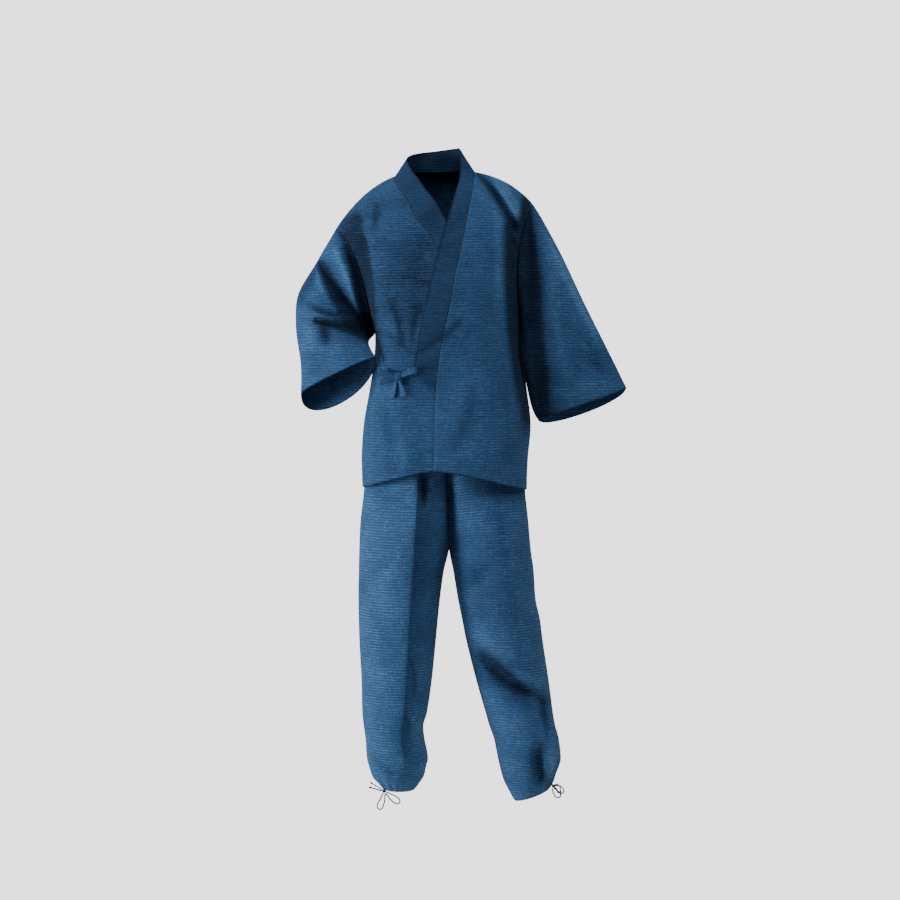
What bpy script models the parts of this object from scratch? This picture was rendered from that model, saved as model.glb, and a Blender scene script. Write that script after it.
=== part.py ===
# Samue as worn: jacket and drawcord trousers, hollow, in one pose.
# Axes: +X is the garment's own left, -Y its front, +Z up. All lengths are millimetres
# until a mesh or a curve is made. The origin is the middle of the neck base, between the shoulders.

import bpy
import math
import numpy as np

MM = 0.001
WALL = 2.0                  # thickness of every cloth wall
SEAM = 0.4                  # room between neighbouring pieces at a seam
UNDER = 4.8                 # how far the lower front lies beneath the upper one
CENTRE_X = 8.0              # x of the fullest point of the jacket's front and back
SHOULDER = 12.0             # row number of the shoulder line in the body tables
UNDERARM = 5.0              # row number of the underarm
BAND_END = 2.55             # row number where the collar band ends at the waist
CROTCH = -826.0             # height of the crotch
WAIST = -495.0              # height of the trouser legs' top edge
WAIST_X = 28.0              # x of the middle of the waist
WAISTBAND = 38.0            # height of the waistband
HEM_GATHER = 1.6            # how far the drawcord's small pleats stand in and out at the ankle
STRIP = 14.0                # width of a waist tie strip
CORD = 1.3                  # radius of an ankle drawcord
CORD_END = 1.1              # radius of its thinner free ends
SMOOTH_ANGLE = math.radians(40.0)

# base colour and roughness of each cloth
INDIGO = ((0.045, 0.105, 0.19), 0.85)
INDIGO_BAND = ((0.040, 0.092, 0.17), 0.85)
INDIGO_TIE = ((0.036, 0.082, 0.15), 0.85)
DARK_CORD = ((0.012, 0.016, 0.025), 0.80)

for old in list(bpy.data.objects):
    bpy.data.objects.remove(old, do_unlink=True)


# Smooth tables and steps

def read(table, at):
    """Every column of a table at a place along its first column, on a smooth curve."""
    keys = table[:, 0]
    last = len(keys) - 1
    i = int(np.clip(np.searchsorted(keys, at, side="right") - 1, 0, last - 1))
    step = keys[i + 1] - keys[i]
    t = float(np.clip((at - keys[i]) / step, 0.0, 1.0))
    before = max(i - 1, 0)
    after = min(i + 2, last)
    slope_0 = (table[i + 1] - table[before]) / (keys[i + 1] - keys[before])
    slope_1 = (table[after] - table[i]) / (keys[after] - keys[i])
    from_0 = 2 * t ** 3 - 3 * t ** 2 + 1
    lean_0 = t ** 3 - 2 * t ** 2 + t
    from_1 = -2 * t ** 3 + 3 * t ** 2
    lean_1 = t ** 3 - t ** 2
    return from_0 * table[i] + lean_0 * step * slope_0 + from_1 * table[i + 1] + lean_1 * step * slope_1


def ease(low, high, value):
    """Smooth step from 0 to 1 as value goes from low to high."""
    t = float(np.clip((value - low) / (high - low), 0.0, 1.0))
    return t * t * (3.0 - 2.0 * t)


def unit(v):
    """Vectors of length one."""
    size = np.linalg.norm(v, axis=-1, keepdims=True)
    return v / np.maximum(size, 1e-9)


def shares(points):
    """Shares of the length along a row of points."""
    steps = np.linalg.norm(np.diff(points, axis=0), axis=1)
    return np.concatenate([[0.0], np.cumsum(steps)]) / steps.sum()


# Normals of a grid of points

def grid_normals(grid, side, closed=False):
    """Outward normals of a grid; side is 1 or -1."""
    along = np.gradient(grid, axis=0)
    if closed:
        across = (np.roll(grid, -1, axis=1) - np.roll(grid, 1, axis=1)) / 2.0
    else:
        across = np.gradient(grid, axis=1)
    return unit(np.cross(across, along)) * side


def softened(normals, closed=False):
    """Normals evened out over their neighbours, so that an inner skin stays clear in a tight fold."""
    for _ in range(2):
        total = normals * 2.0
        total[1:] += normals[:-1]
        total[:-1] += normals[1:]
        if closed:
            total += np.roll(normals, 1, axis=1) + np.roll(normals, -1, axis=1)
        else:
            total[:, 1:] += normals[:, :-1]
            total[:, :-1] += normals[:, 1:]
        normals = unit(total)
    return normals


# Objects and their own materials

def own_material(name, look):
    """Plain material of one sub-part."""
    color, roughness = look
    made = bpy.data.materials.new(name + "_cloth")
    made.use_nodes = True
    shader = made.node_tree.nodes["Principled BSDF"]
    shader.inputs["Base Color"].default_value = (color[0], color[1], color[2], 1.0)
    shader.inputs["Roughness"].default_value = roughness
    shader.inputs["Metallic"].default_value = 0.0
    return made


def add_object(name, data, look):
    """An object with its own material, from a mesh or a curve."""
    data.materials.append(own_material(name, look))
    bpy.context.scene.collection.objects.link(bpy.data.objects.new(name, data))


def add_mesh(name, points, faces, look):
    """A closed body of points and faces, shaded smooth, its faces turned out."""
    mesh = bpy.data.meshes.new(name)
    mesh.from_pydata([tuple(p) for p in points * MM], [], faces)
    mesh.validate()
    mesh.calc_loop_triangles()
    volume = 0.0
    for tri in mesh.loop_triangles:
        p, q, r = (points[n] for n in tri.vertices)
        volume += float(np.dot(p, np.cross(q, r)))
    if volume < 0:
        mesh.flip_normals()
    mesh.shade_smooth()
    mesh.set_sharp_from_angle(angle=SMOOTH_ANGLE)
    add_object(name, mesh, look)


def add_panel(name, outer, inner, look, closed=False):
    """A cloth wall between two grids of points, closed at every rim."""
    rows, cols = outer.shape[0], outer.shape[1]
    points = np.concatenate([outer.reshape(-1, 3), inner.reshape(-1, 3)])
    skin = rows * cols
    faces = []
    spans = cols if closed else cols - 1
    for i in range(rows - 1):
        for j in range(spans):
            k = (j + 1) % cols
            a, b, c, d = i * cols + j, i * cols + k, (i + 1) * cols + k, (i + 1) * cols + j
            if np.linalg.norm(points[a] - points[c]) <= np.linalg.norm(points[b] - points[d]):
                halves = ((a, b, c), (a, c, d))
            else:
                halves = ((a, b, d), (b, c, d))
            for half in halves:
                faces.append(half)
                faces.append(tuple(skin + n for n in reversed(half)))
    top = (rows - 1) * cols
    for j in range(spans):
        k = (j + 1) % cols
        faces.append((k, j, skin + j, skin + k))
        faces.append((top + j, top + k, skin + top + k, skin + top + j))
    if not closed:
        for i in range(rows - 1):
            a, b = i * cols, (i + 1) * cols
            faces.append((a, b, skin + b, skin + a))
            a, b = a + cols - 1, b + cols - 1
            faces.append((b, a, skin + a, skin + b))
    add_mesh(name, points, faces, look)


# Folds, seen straight on.
# Each row: start x, start z, end x, end z, half width, depth. A positive depth is a trough.

FRONT_FOLDS = np.array([
    (118, -2, 186, -112, 16, 7.0),
    (112, -38, 164, -104, 13, -3.5),
    (-122, -70, -128, -124, 15, 5.0),
    (-84, -284, -62, -362, 17, 5.0),
    (-104, -338, -46, -386, 15, 3.5),
    (-24, -296, -38, -364, 15, 3.5),
    (60, -330, -24, -392, 16, 4.0),
    (96, -470, 60, -590, 22, 3.5),
    (-100, -520, -84, -640, 18, 3.5),
])
BACK_FOLDS = np.array([
    (-92, -60, -128, -190, 20, 6.0),
    (104, -50, 140, -180, 22, 6.5),
    (-92, -336, 28, -372, 20, 4.0),
    (150, -356, 36, -392, 20, 4.0),
    (-20, -410, -44, -560, 26, 4.0),
    (84, -430, 104, -590, 24, 4.0),
])
SLEEVE_LEFT_FOLDS = np.array([
    (222, -150, 240, -330, 20, 6.0),
    (240, -330, 262, -500, 18, 7.0),
    (250, -118, 352, -350, 16, -6.0),
    (300, -250, 372, -430, 15, 5.0),
    (262, -230, 300, -440, 14, -4.0),
    (388, -440, 330, -395, 12, 3.5),
])
SLEEVE_RIGHT_FOLDS = np.array([
    (-206, -118, -168, -160, 14, 9.0),
    (-216, -172, -158, -302, 18, -7.0),
    (-238, -198, -170, -284, 14, 7.0),
    (-256, -208, -214, -292, 12, -6.0),
    (-272, -242, -216, -314, 13, 7.0),
    (-248, -322, -146, -358, 13, 11.0),
    (-284, -330, -240, -352, 14, 6.0),
    (-276, -372, -150, -378, 15, -6.0),
    (-270, -440, -190, -404, 11, 4.0),
])
LEG_FRONT_FOLDS = np.array([
    (120, -1072, 206, -1150, 18, 8.0),
    (206, -1150, 246, -1200, 15, 5.0),
    (130, -1122, 190, -1196, 16, -3.5),
    (236, -1272, 244, -1326, 9, 5.0),
    (-50, -1066, -36, -1134, 10, 4.0),
    (-56, -1192, -24, -1264, 10, 5.0),
    (-150, -905, -96, -842, 18, 4.0),
    (60, -900, 120, -860, 16, 4.0),
    (-126, -1288, -84, -1316, 9, 4.0),
])
LEG_BACK_FOLDS = np.array([
    (-132, -812, -40, -838, 16, 7.0),
    (196, -806, 104, -836, 17, 7.0),
    (-140, -1052, -44, -1030, 15, 7.0),
    (-128, -1098, -52, -1086, 12, 5.0),
    (226, -1048, 118, -1030, 16, 8.0),
    (236, -1112, 150, -1086, 12, 5.0),
    (-120, -1262, -52, -1290, 11, 5.0),
    (256, -1252, 186, -1290, 11, 5.0),
])
FOLD_END = 0.35             # share of its depth that a fold keeps at its ends


def fold_depth(table, x, z):
    """Sum of the troughs and ridges of a table at one place."""
    total = 0.0
    for x0, z0, x1, z1, width, depth in table:
        dx, dz = x1 - x0, z1 - z0
        along = ((x - x0) * dx + (z - z0) * dz) / (dx * dx + dz * dz)
        along = min(max(along, 0.0), 1.0)
        away = math.hypot(x - x0 - along * dx, z - z0 - along * dz)
        taper = FOLD_END + (1 - FOLD_END) * math.sin(math.pi * (0.15 + 0.7 * along))
        total += depth * taper * math.exp(-(away / width) ** 2)
    return total


# Jacket body, front and back.
# Each row: row number, height at the centre, depth at the centre, right side x y z,
# left side x y z, shoulder drop powers right and left, fullness.

FRONT = np.array([
    (0, -645, -150, -154, 0, -684, 210, 0, -690, 1.3, 1.3, 0.80),
    (1, -580, -146, -156, 0, -618, 213, 0, -622, 1.3, 1.3, 0.80),
    (2, -510, -141, -151, 0, -545, 219, 0, -545, 1.3, 1.3, 0.78),
    (3, -440, -140, -138, 0, -470, 210, 0, -468, 1.3, 1.3, 0.76),
    (4, -370, -141, -128, 0, -405, 201, 0, -396, 1.3, 1.3, 0.74),
    (5, -300, -141, -126, 0, -346, 192, 0, -326, 1.3, 1.3, 0.74),
    (6, -230, -137, -135, -46, -298, 187, -46, -266, 1.4, 1.4, 0.74),
    (7, -160, -128, -146, -57, -246, 186, -57, -208, 1.6, 1.6, 0.76),
    (8, -98, -112, -160, -56, -196, 192, -56, -152, 1.9, 2.0, 0.80),
    (9, -48, -93, -178, -48, -156, 202, -48, -110, 2.2, 2.5, 0.85),
    (10, -12, -68, -195, -35, -131, 213, -35, -82, 2.4, 2.9, 0.90),
    (11, 8, -37, -207, -19, -118, 221, -19, -66, 2.5, 3.1, 0.95),
    (12, 15, 0, -212, 0, -113, 224, 0, -60, 2.56, 3.2, 1.0),
], dtype=float)
BACK = np.array([
    (0, -690, 142, -154, 0, -684, 210, 0, -690, 1.3, 1.3, 0.70),
    (1, -606, 138, -156, 0, -618, 213, 0, -622, 1.3, 1.3, 0.70),
    (2, -526, 127, -151, 0, -545, 219, 0, -545, 1.3, 1.3, 0.70),
    (3, -450, 116, -138, 0, -470, 210, 0, -468, 1.3, 1.3, 0.72),
    (4, -372, 114, -128, 0, -405, 201, 0, -396, 1.3, 1.3, 0.78),
    (5, -295, 120, -126, 0, -346, 192, 0, -326, 1.3, 1.3, 0.76),
    (6, -215, 125, -146, 50, -300, 197, 50, -264, 1.4, 1.4, 0.76),
    (7, -135, 123, -170, 64, -247, 199, 64, -207, 1.6, 1.6, 0.78),
    (8, -58, 112, -183, 62, -198, 205, 62, -152, 1.9, 2.0, 0.80),
    (9, -4, 95, -194, 52, -158, 211, 52, -110, 2.2, 2.5, 0.85),
    (10, 20, 70, -203, 37, -132, 218, 37, -82, 2.4, 2.9, 0.90),
    (11, 20, 37, -209, 19, -118, 222, 19, -66, 2.5, 3.1, 0.95),
    (12, 15, 0, -212, 0, -113, 224, 0, -60, 2.56, 3.2, 1.0),
], dtype=float)
ROW, HEIGHT, DEPTH, SIDE_RIGHT, SIDE_LEFT, POWER_RIGHT, POWER_LEFT, FULLNESS = 0, 1, 2, 3, 6, 9, 10, 11
RIDGE_ROWS = 2.2            # rows below the shoulder line over which the folds fade out

# rows of every body panel: hem to waist, waist to underarm, underarm to shoulder
ROWS = np.concatenate([np.linspace(0, BAND_END, 8), np.linspace(BAND_END, UNDERARM, 8)[1:],
                       np.linspace(UNDERARM, SHOULDER, 14)[1:]])
BELOW_ARM = ROWS <= UNDERARM + 0.01
FIRST_BAND_ROW = int(np.argmin(abs(ROWS - BAND_END)))


def body_point(table, row, x, facing):
    """Point of the front (facing -1) or of the back (facing 1) at a row and an x."""
    r = read(table, row)
    if x < CENTRE_X:
        side, power = r[SIDE_RIGHT:SIDE_RIGHT + 3], r[POWER_RIGHT]
    else:
        side, power = r[SIDE_LEFT:SIDE_LEFT + 3], r[POWER_LEFT]
    t = min(max((x - CENTRE_X) / (side[0] - CENTRE_X), 0.0), 1.0)
    full = math.sqrt(max(1.0 - t * t, 0.0)) ** r[FULLNESS]
    side_y = (side[1] if row > UNDERARM else 0.0) + facing * SEAM / 2.0
    y = side_y + (r[DEPTH] + facing * SEAM / 2.0 - side_y) * full
    z = r[HEIGHT] + (side[2] - r[HEIGHT]) * t ** power
    shows = full ** 0.5 * ease(SHOULDER, SHOULDER - RIDGE_ROWS, row)
    folds = FRONT_FOLDS if facing < 0 else BACK_FOLDS
    y -= facing * shows * fold_depth(folds, x, z)
    return np.array([x, y, z])


def row_at(x, z):
    """Row number at which the front passes a height."""
    low, high = 0.0, SHOULDER
    for _ in range(30):
        mid = (low + high) / 2.0
        if body_point(FRONT, mid, x, -1)[2] < z:
            low = mid
        else:
            high = mid
    return (low + high) / 2.0


# Fronts. The left one lies over the right one.
# Each row: height, x of the collar seam, which is the free edge below the band.

OVER_SEAM = np.array([
    (-700, 5), (-648, 5.6), (-474, 9.8), (-420, 14.5), (-370, 21.9), (-299, 37.8), (-224, 50.8),
    (-167, 63.8), (-112, 74.7), (-55.5, 85.8), (-19.8, 92.7), (10, 95.5), (30, 96),
], dtype=float)
UNDER_SEAM = np.array([
    (-700, 93), (-648, 92), (-474, 87.4), (-383, 81), (-307, 68), (-243, 50.7), (-193, 31.2),
    (-158, 12.7), (-128, -6.6), (-104, -28.8), (-58, -50.1), (-31.7, -69.6), (-14.2, -79),
    (0, -82), (30, -83),
], dtype=float)

# height, x of the band's free edge on the over side: the lower front is pressed down behind it
OVER_EDGE = np.array([
    (-700, 5), (-560, 0), (-474, -30), (-431, -37.6), (-385, -31.5), (-354, -26.8), (-301, -16.1),
    (-256, -5.3), (-217, 3.3), (-182, 11.9), (-150, 20.5), (-103, 34.7), (-51, 48.7), (5, 65.3),
], dtype=float)
PRESS_FAR, PRESS_NEAR = 62.0, 16.0      # the pressing grows between these distances from the edge
PRESS_TOP, PRESS_FULL = 20.0, -60.0     # heights between which it starts below the shoulder
OVER_COLS, UNDER_COLS = 11, 14


def pressed(x, z):
    """How far the lower front is pressed back at one place."""
    edge = read(OVER_EDGE, z)[1]
    return UNDER * ease(edge - PRESS_FAR, edge - PRESS_NEAR, x) * ease(PRESS_TOP, PRESS_FULL, z)


def seam_x(seam, row):
    """x at which a seam line crosses a row of the front."""
    x = 30.0
    for _ in range(40):
        z = body_point(FRONT, row, x, -1)[2]
        x = 0.5 * x + 0.5 * read(seam, z)[1]
    return x


def spread(start, end, count):
    """Places from start to the side of the body, closer together where it turns away."""
    turn = math.asin((start - CENTRE_X) / (end - CENTRE_X))
    return CENTRE_X + (end - CENTRE_X) * np.sin(np.linspace(turn, math.pi / 2, count))


def front_grid(seam, side, cols, lower):
    """Outer points of one front, from its free edge or collar seam out to its side."""
    grid = np.zeros((len(ROWS), cols, 3))
    for i, row in enumerate(ROWS):
        for j, x in enumerate(spread(seam_x(seam, row), read(FRONT, row)[side], cols)):
            grid[i, j] = body_point(FRONT, row, x, -1)
            if lower:
                grid[i, j, 1] += pressed(x, grid[i, j, 2])
    return grid


def front_inner(grid, side):
    """Inner points of a front. No rim normal leans over the side seam or the shoulder seam."""
    normals = grid_normals(grid, side)
    normals[BELOW_ARM, -1, 1] = 0.0
    normals[-1, :, 1] = 0.0
    return grid - unit(normals) * WALL


over = front_grid(OVER_SEAM, SIDE_LEFT, OVER_COLS, False)
over_in = front_inner(over, 1)
add_panel("front_left", over, over_in, INDIGO)

under = front_grid(UNDER_SEAM, SIDE_RIGHT, UNDER_COLS, True)
under_in = front_inner(under, -1)
add_panel("front_right", under, under_in, INDIGO)


# Back. Its columns run from the right to the left, and the neck is notched out.

NECK_X = 6.75               # middle of the neck notch
NECK_HALF = 88.75           # its half width at the shoulder line
NECK_TAPER = 0.92           # its columns' share of that width low down the back
NECK_ROWS = 2.25            # rows that the notch takes away at the nape
NOTCH_FOOT = 6              # row number below which the columns run straight down
SHOULDER_COLS, NECK_COLS = 6, 13


def back_grid():
    """Outer points of the back."""
    rightward = np.linspace(1, 0, SHOULDER_COLS + 1)[:-1]
    notch = np.cos(np.linspace(math.pi, 0, NECK_COLS))
    leftward = np.linspace(0, 1, SHOULDER_COLS + 1)[1:]
    grid = np.zeros((len(ROWS), len(rightward) + len(notch) + len(leftward), 3))
    for i, row in enumerate(ROWS):
        width = NECK_HALF * (NECK_TAPER + (1 - NECK_TAPER) * ease(5, 10, row))
        places = []
        plain = read(BACK, row)
        for share in rightward:
            x = NECK_X - width
            places.append((x + (plain[SIDE_RIGHT] - x) * math.sin(share * math.pi / 2), 0.0))
        for share in notch:
            places.append((NECK_X + width * share, NECK_ROWS * math.sqrt(max(1 - share * share, 0.0))))
        for share in leftward:
            x = NECK_X + width
            places.append((x + (plain[SIDE_LEFT] - x) * math.sin(share * math.pi / 2), 0.0))
        for j, (x, cut) in enumerate(places):
            here = row
            if row > NOTCH_FOOT:
                here = NOTCH_FOOT + (row - NOTCH_FOOT) * (SHOULDER - cut - NOTCH_FOOT) / (SHOULDER - NOTCH_FOOT)
            grid[i, j] = body_point(BACK, here, x, 1)
    return grid


def back_inner(grid):
    """Inner points of the back, with the same rims as the fronts."""
    normals = grid_normals(grid, -1)
    normals[BELOW_ARM, 0, 1] = 0.0
    normals[BELOW_ARM, -1, 1] = 0.0
    normals[-1, :SHOULDER_COLS + 1, 1] = 0.0
    normals[-1, -SHOULDER_COLS - 1:, 1] = 0.0
    return grid - unit(normals) * WALL


back = back_grid()
back_in = back_inner(back)
add_panel("back", back, back_in, INDIGO)


# Collar band, from the waist up the over side, round the nape and down the under side.
# Each row: share of the way, x, y, z of the free edge. 0 to 1 is the over side, 1 to 2 the nape,
# 2 to 3 the under side.

BAND_EDGE = np.array([
    (0.00, -37.6, -142, -431), (0.09, -31.5, -142, -385), (0.155, -26.8, -143, -354),
    (0.265, -16.1, -142, -301), (0.36, -5.3, -139, -256), (0.44, 3.3, -136, -217),
    (0.51, 11.9, -132, -182), (0.58, 20.5, -125, -150), (0.68, 34.7, -108, -103),
    (0.79, 48.7, -80, -51), (0.90, 62.0, -44, 3), (1.00, 62.5, -4, 57),
    (1.18, 55.0, 34, 66), (1.34, 34.0, 62, 66), (1.50, 5.0, 74, 63), (1.66, -25.0, 62, 59),
    (1.82, -46.0, 34, 52), (2.00, -55.5, -4, 37.6),
    (2.07, -44.0, -34, 13), (2.13, -27.0, -54, -10), (2.19, -12.5, -70, -32), (2.25, 5.0, -84, -55),
    (2.31, 18.2, -96, -78), (2.38, 33.5, -108, -103), (2.52, 61.6, -122, -152),
    (2.62, 83.2, -129, -206), (2.74, 104.8, -132, -275), (2.89, 119.8, -132, -362),
    (3.00, 126.4, -130, -431),
], dtype=float)
BAND_COLS = 4
OVER_LIES = (0.93, 0.72)    # shares of the way between which the band comes to lie on the chest
UNDER_LIES = (2.10, 2.34)


def band_seam():
    """Seam edge of the band: outer points, inner points and shares of the way."""
    band_rows = slice(FIRST_BAND_ROW, len(ROWS))
    nape = slice(SHOULDER_COLS, SHOULDER_COLS + NECK_COLS)
    sides = (
        (over[band_rows, 0], over_in[band_rows, 0], over[band_rows, 1]),
        (back[-1, nape][::-1], back_in[-1, nape][::-1], back[-2, nape][::-1]),
        (under[band_rows, 0][::-1], under_in[band_rows, 0][::-1], under[band_rows, 1][::-1]),
    )
    outer, inner, ways = [], [], []
    for number, (edge, edge_in, beside) in enumerate(sides):
        off = unit(edge - beside) * SEAM
        keep = slice(1, -1) if number == 1 else slice(None)
        outer.extend((edge + off)[keep])
        inner.extend((edge_in + off)[keep])
        ways.extend((shares(edge) + number)[keep])
    return np.array(outer), np.array(inner), ways


def collar():
    """The collar band."""
    seam, seam_in, ways = band_seam()
    grid = np.zeros((len(ways), BAND_COLS, 3))
    for i, way in enumerate(ways):
        edge = read(BAND_EDGE, way)[1:]
        lies = max(ease(*OVER_LIES, way), ease(*UNDER_LIES, way))
        for j in range(BAND_COLS):
            share = j / (BAND_COLS - 1)
            p = seam[i] * (1 - share) + edge * share
            if lies > 0 and j > 0:
                chest = body_point(FRONT, row_at(p[0], p[2]), p[0], -1)[1]
                if way > 1.5:
                    chest += pressed(p[0], p[2])
                p[1] = p[1] * (1 - lies) + chest * lies
            grid[i, j] = p
    inner = grid - grid_normals(grid, -1) * WALL
    inner[:, 0] = seam_in
    add_panel("collar", grid, inner, INDIGO_BAND)


collar()


# Sleeves.
# Each row: way, top fold x y z, bottom fold x y z, front swell x y z, back swell x y z.

SLEEVE_LEFT = np.array([
    (0.00, 224, 0, -60, 192, 0, -326, 0, -52, 0, 0, 58, 0),
    (0.10, 243, 0, -92, 196.5, -20, -348, 4, -52, 4, 12, 62, 2),
    (0.28, 281, -2, -165, 196, -48, -387, 8, -54, 6, 22, 70, 2),
    (0.50, 327, -4, -261, 203, -50, -433, 8, -50, 5, 22, 70, 0),
    (0.75, 379, -7, -364, 214, -38, -486, 6, -48, 6, 14, 62, -12),
    (0.90, 411, -9, -427, 223, -26, -516, 5, -46, 6, 6, 55, -20),
    (1.00, 430, -10, -466, 235, -16, -533, 4, -44, 6, 0, 50, -26),
], dtype=float)
SLEEVE_RIGHT = np.array([
    (0.00, -212, 0, -113, -126, 0, -346, 0, -52, 0, 0, 58, 0),
    (0.12, -228, 1, -142, -133, -9, -354, -4, -58, 6, -4, 60, 2),
    (0.30, -256, 2, -192, -138, -26, -361, -6, -64, 8, -8, 62, 0),
    (0.50, -296, 0, -262, -138, -46, -370, -4, -66, 10, -10, 62, -10),
    (0.68, -300, -14, -330, -134, -67, -379, 0, -60, 10, -12, 60, -26),
    (0.84, -289, -32, -402, -128, -88, -390, 4, -52, 8, -10, 58, -46),
    (1.00, -287, -52, -478, -121, -104, -401, 6, -42, 10, -4, 58, -64),
], dtype=float)
TOP_FOLD, BOTTOM_FOLD, FRONT_SWELL, BACK_SWELL = 1, 4, 7, 10
SLEEVE_ROUND = 0.85         # power of the sine that rounds the section, below 1 is fuller
SLEEVE_ROWS = 13
FIRST_WAY = 0.07            # way of the first row past the armhole
JOINED = 0.24               # way over which the section leaves the armhole's own shape
BACK_FOLD_SHARE = 0.7       # the back of a sleeve has the front's folds, shallower
BACK_FOLD_SHIFT = (14, -22)  # and shifted, x and z
TOP_SEAM_OUT = (0.86, 0, -0.5)      # ways off the body at the shoulder point and at the underarm
UNDERARM_OUT = (0.7, 0, -0.7)


def joined_round(front, behind):
    """One ring from the armhole edges of front and back, which share their two ends."""
    ring = np.concatenate([front, behind[1:-1]])
    half = len(front) - 1
    ring[0] = (front[0] + behind[-1]) / 2
    ring[half] = (front[half] + behind[0]) / 2
    return ring


def section_point(r, turn):
    """Point of a sleeve's section; 0 is the top fold, 180 degrees the bottom one, front between."""
    top, bottom = r[TOP_FOLD:TOP_FOLD + 3], r[BOTTOM_FOLD:BOTTOM_FOLD + 3]
    at = FRONT_SWELL if math.sin(turn) >= 0 else BACK_SWELL
    across = (top + bottom) / 2 + (top - bottom) / 2 * math.cos(turn)
    return across + r[at:at + 3] * abs(math.sin(turn)) ** SLEEVE_ROUND


def armhole_turns(ring, table):
    """Angle in the section of each point of the armhole, found from its height."""
    half_turn = np.linspace(0, math.pi, 60)
    first = read(table, 0)
    depths = [-section_point(first, a)[2] for a in half_turn]
    turns = np.interp(-ring[:, 2], depths, half_turn)
    front = np.arange(len(ring)) <= len(ring) // 2
    return np.where(front, turns, 2 * math.pi - turns)


def sleeve(name, table, folds, body, body_in, back_col, beside_col):
    """A sleeve from the armhole of the body out to its open cuff."""
    arm = np.flatnonzero(ROWS >= UNDERARM - 0.01)
    front_edge, front_beside = body[arm, -1][::-1], body[arm, -2][::-1]
    back_edge, back_beside = back[arm, back_col], back[arm, beside_col]
    ring = joined_round(front_edge, back_edge)
    ring_in = joined_round(body_in[arm, -1][::-1], back_in[arm, back_col])
    half = len(arm) - 1
    around = len(ring)
    side = 1.0 if ring[0, 0] > 0 else -1.0
    turns = armhole_turns(ring, table)
    even = np.arange(around) * 2 * math.pi / around
    first = read(table, 0)
    ways = np.concatenate([[0.0], np.linspace(FIRST_WAY, 1.0, SLEEVE_ROWS)])
    grid = np.zeros((len(ways), around, 3))
    for i, way in enumerate(ways):
        r = read(table, way)
        evened = ease(0.0, 0.5, way)
        shows = ease(0.03, 0.2, way)
        for n in range(around):
            a = turns[n] * (1 - evened) + even[n] * evened
            p = section_point(r, a)
            p = p + (ring[n] - section_point(first, turns[n])) * ease(JOINED, 0.0, way)
            if math.sin(a) > 0:
                p[1] += fold_depth(folds, p[0], p[2]) * math.sin(a) ** 0.7 * shows
            else:
                depth = fold_depth(folds, p[0] + BACK_FOLD_SHIFT[0], p[2] + BACK_FOLD_SHIFT[1])
                p[1] -= BACK_FOLD_SHARE * depth * abs(math.sin(a)) * shows
            grid[i, n] = p
    leaves = unit(grid[1] - grid[0])
    off = np.concatenate([unit(front_edge - front_beside), unit(back_edge - back_beside)[1:-1]])
    off[0] = TOP_SEAM_OUT
    off[half] = UNDERARM_OUT
    edge_out = unit(ring - ring_in)
    wedge = np.array([ease(-0.05, 0.3, v) for v in np.sum(leaves * edge_out, axis=1)])[:, None]
    shift = unit(off + leaves + edge_out * wedge) * SEAM * (1 + 0.5 * wedge)
    grid[0] = ring + shift
    normals = softened(grid_normals(grid, side, closed=True), closed=True)
    inner = grid - normals * WALL
    inner[0] = (ring_in + shift) * (1 - wedge) + inner[0] * wedge
    add_panel(name, grid, inner, INDIGO, closed=True)


sleeve("sleeve_left", SLEEVE_LEFT, SLEEVE_LEFT_FOLDS, over, over_in, -1, -2)
sleeve("sleeve_right", SLEEVE_RIGHT, SLEEVE_RIGHT_FOLDS, under, under_in, 0, 1)


# Trouser legs.
# Each row: height, outer x, inner x, cut, front y, back y, seam y, crease angle, crease height,
# height change at the outer side, height change at the inner side.
# The cut is the cosine at which a leg meets the middle plane: 0 at the waist, -1 below the crotch.

LEG_RIGHT = np.array([
    (-1366, -110, -38, -1, -36, 64, 16, 92, 0.0, 5, 4),
    (-1353, -120, -26, -1, -44, 70, 14, 92, 1.0, 4, 7),
    (-1338, -133, -18, -1, -56, 82, 12, 96, 2.5, 3, 5),
    (-1314, -141, -13, -1, -66, 92, 10, 102, 5.0, 2, 2),
    (-1292, -146, -9, -1, -72, 97, 9, 104, 7.0, 0, 0),
    (-1248, -149, -17, -1, -76, 97, 8, 104, 8.0, 0, 0),
    (-1218, -153, -19, -1, -79, 96, 6, 106, 8.0, 0, 0),
    (-1190, -156, -11, -1, -81, 95, 5, 106, 8.0, 0, 0),
    (-1115, -157.6, 0, -1, -88, 92, 3, 105, 8.0, 0, 0),
    (-1026, -162, 9, -1, -97, 92, 0, 106, 8.5, 0, 0),
    (-937, -164, 17.8, -1, -104, 98, 0, 106, 9.0, 0, 0),
    (-870, -163, 27, -1, -109, 108, 0, 105, 9.0, 0, 0),
    (-826, -162, 37.4, -1, -113, 118, 0, 103, 9.0, 0, 0),
    (-760, -159, 36.4, -0.74, -117, 121, 0, 96, 9.0, 0, 0),
    (-690, -151.2, 34.6, -0.42, -119, 120, 0, 85, 8.0, 0, 0),
    (-640, -151.6, 32.6, -0.25, -118, 117, 0, 80, 6.0, 0, 0),
    (-560, -140, 30.6, -0.08, -112, 108, 0, 78, 3.0, 0, 0),
    (-495, -122, 27.6, 0.0, -104, 98, 0, 76, 0.0, 0, 0),
], dtype=float)
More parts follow.
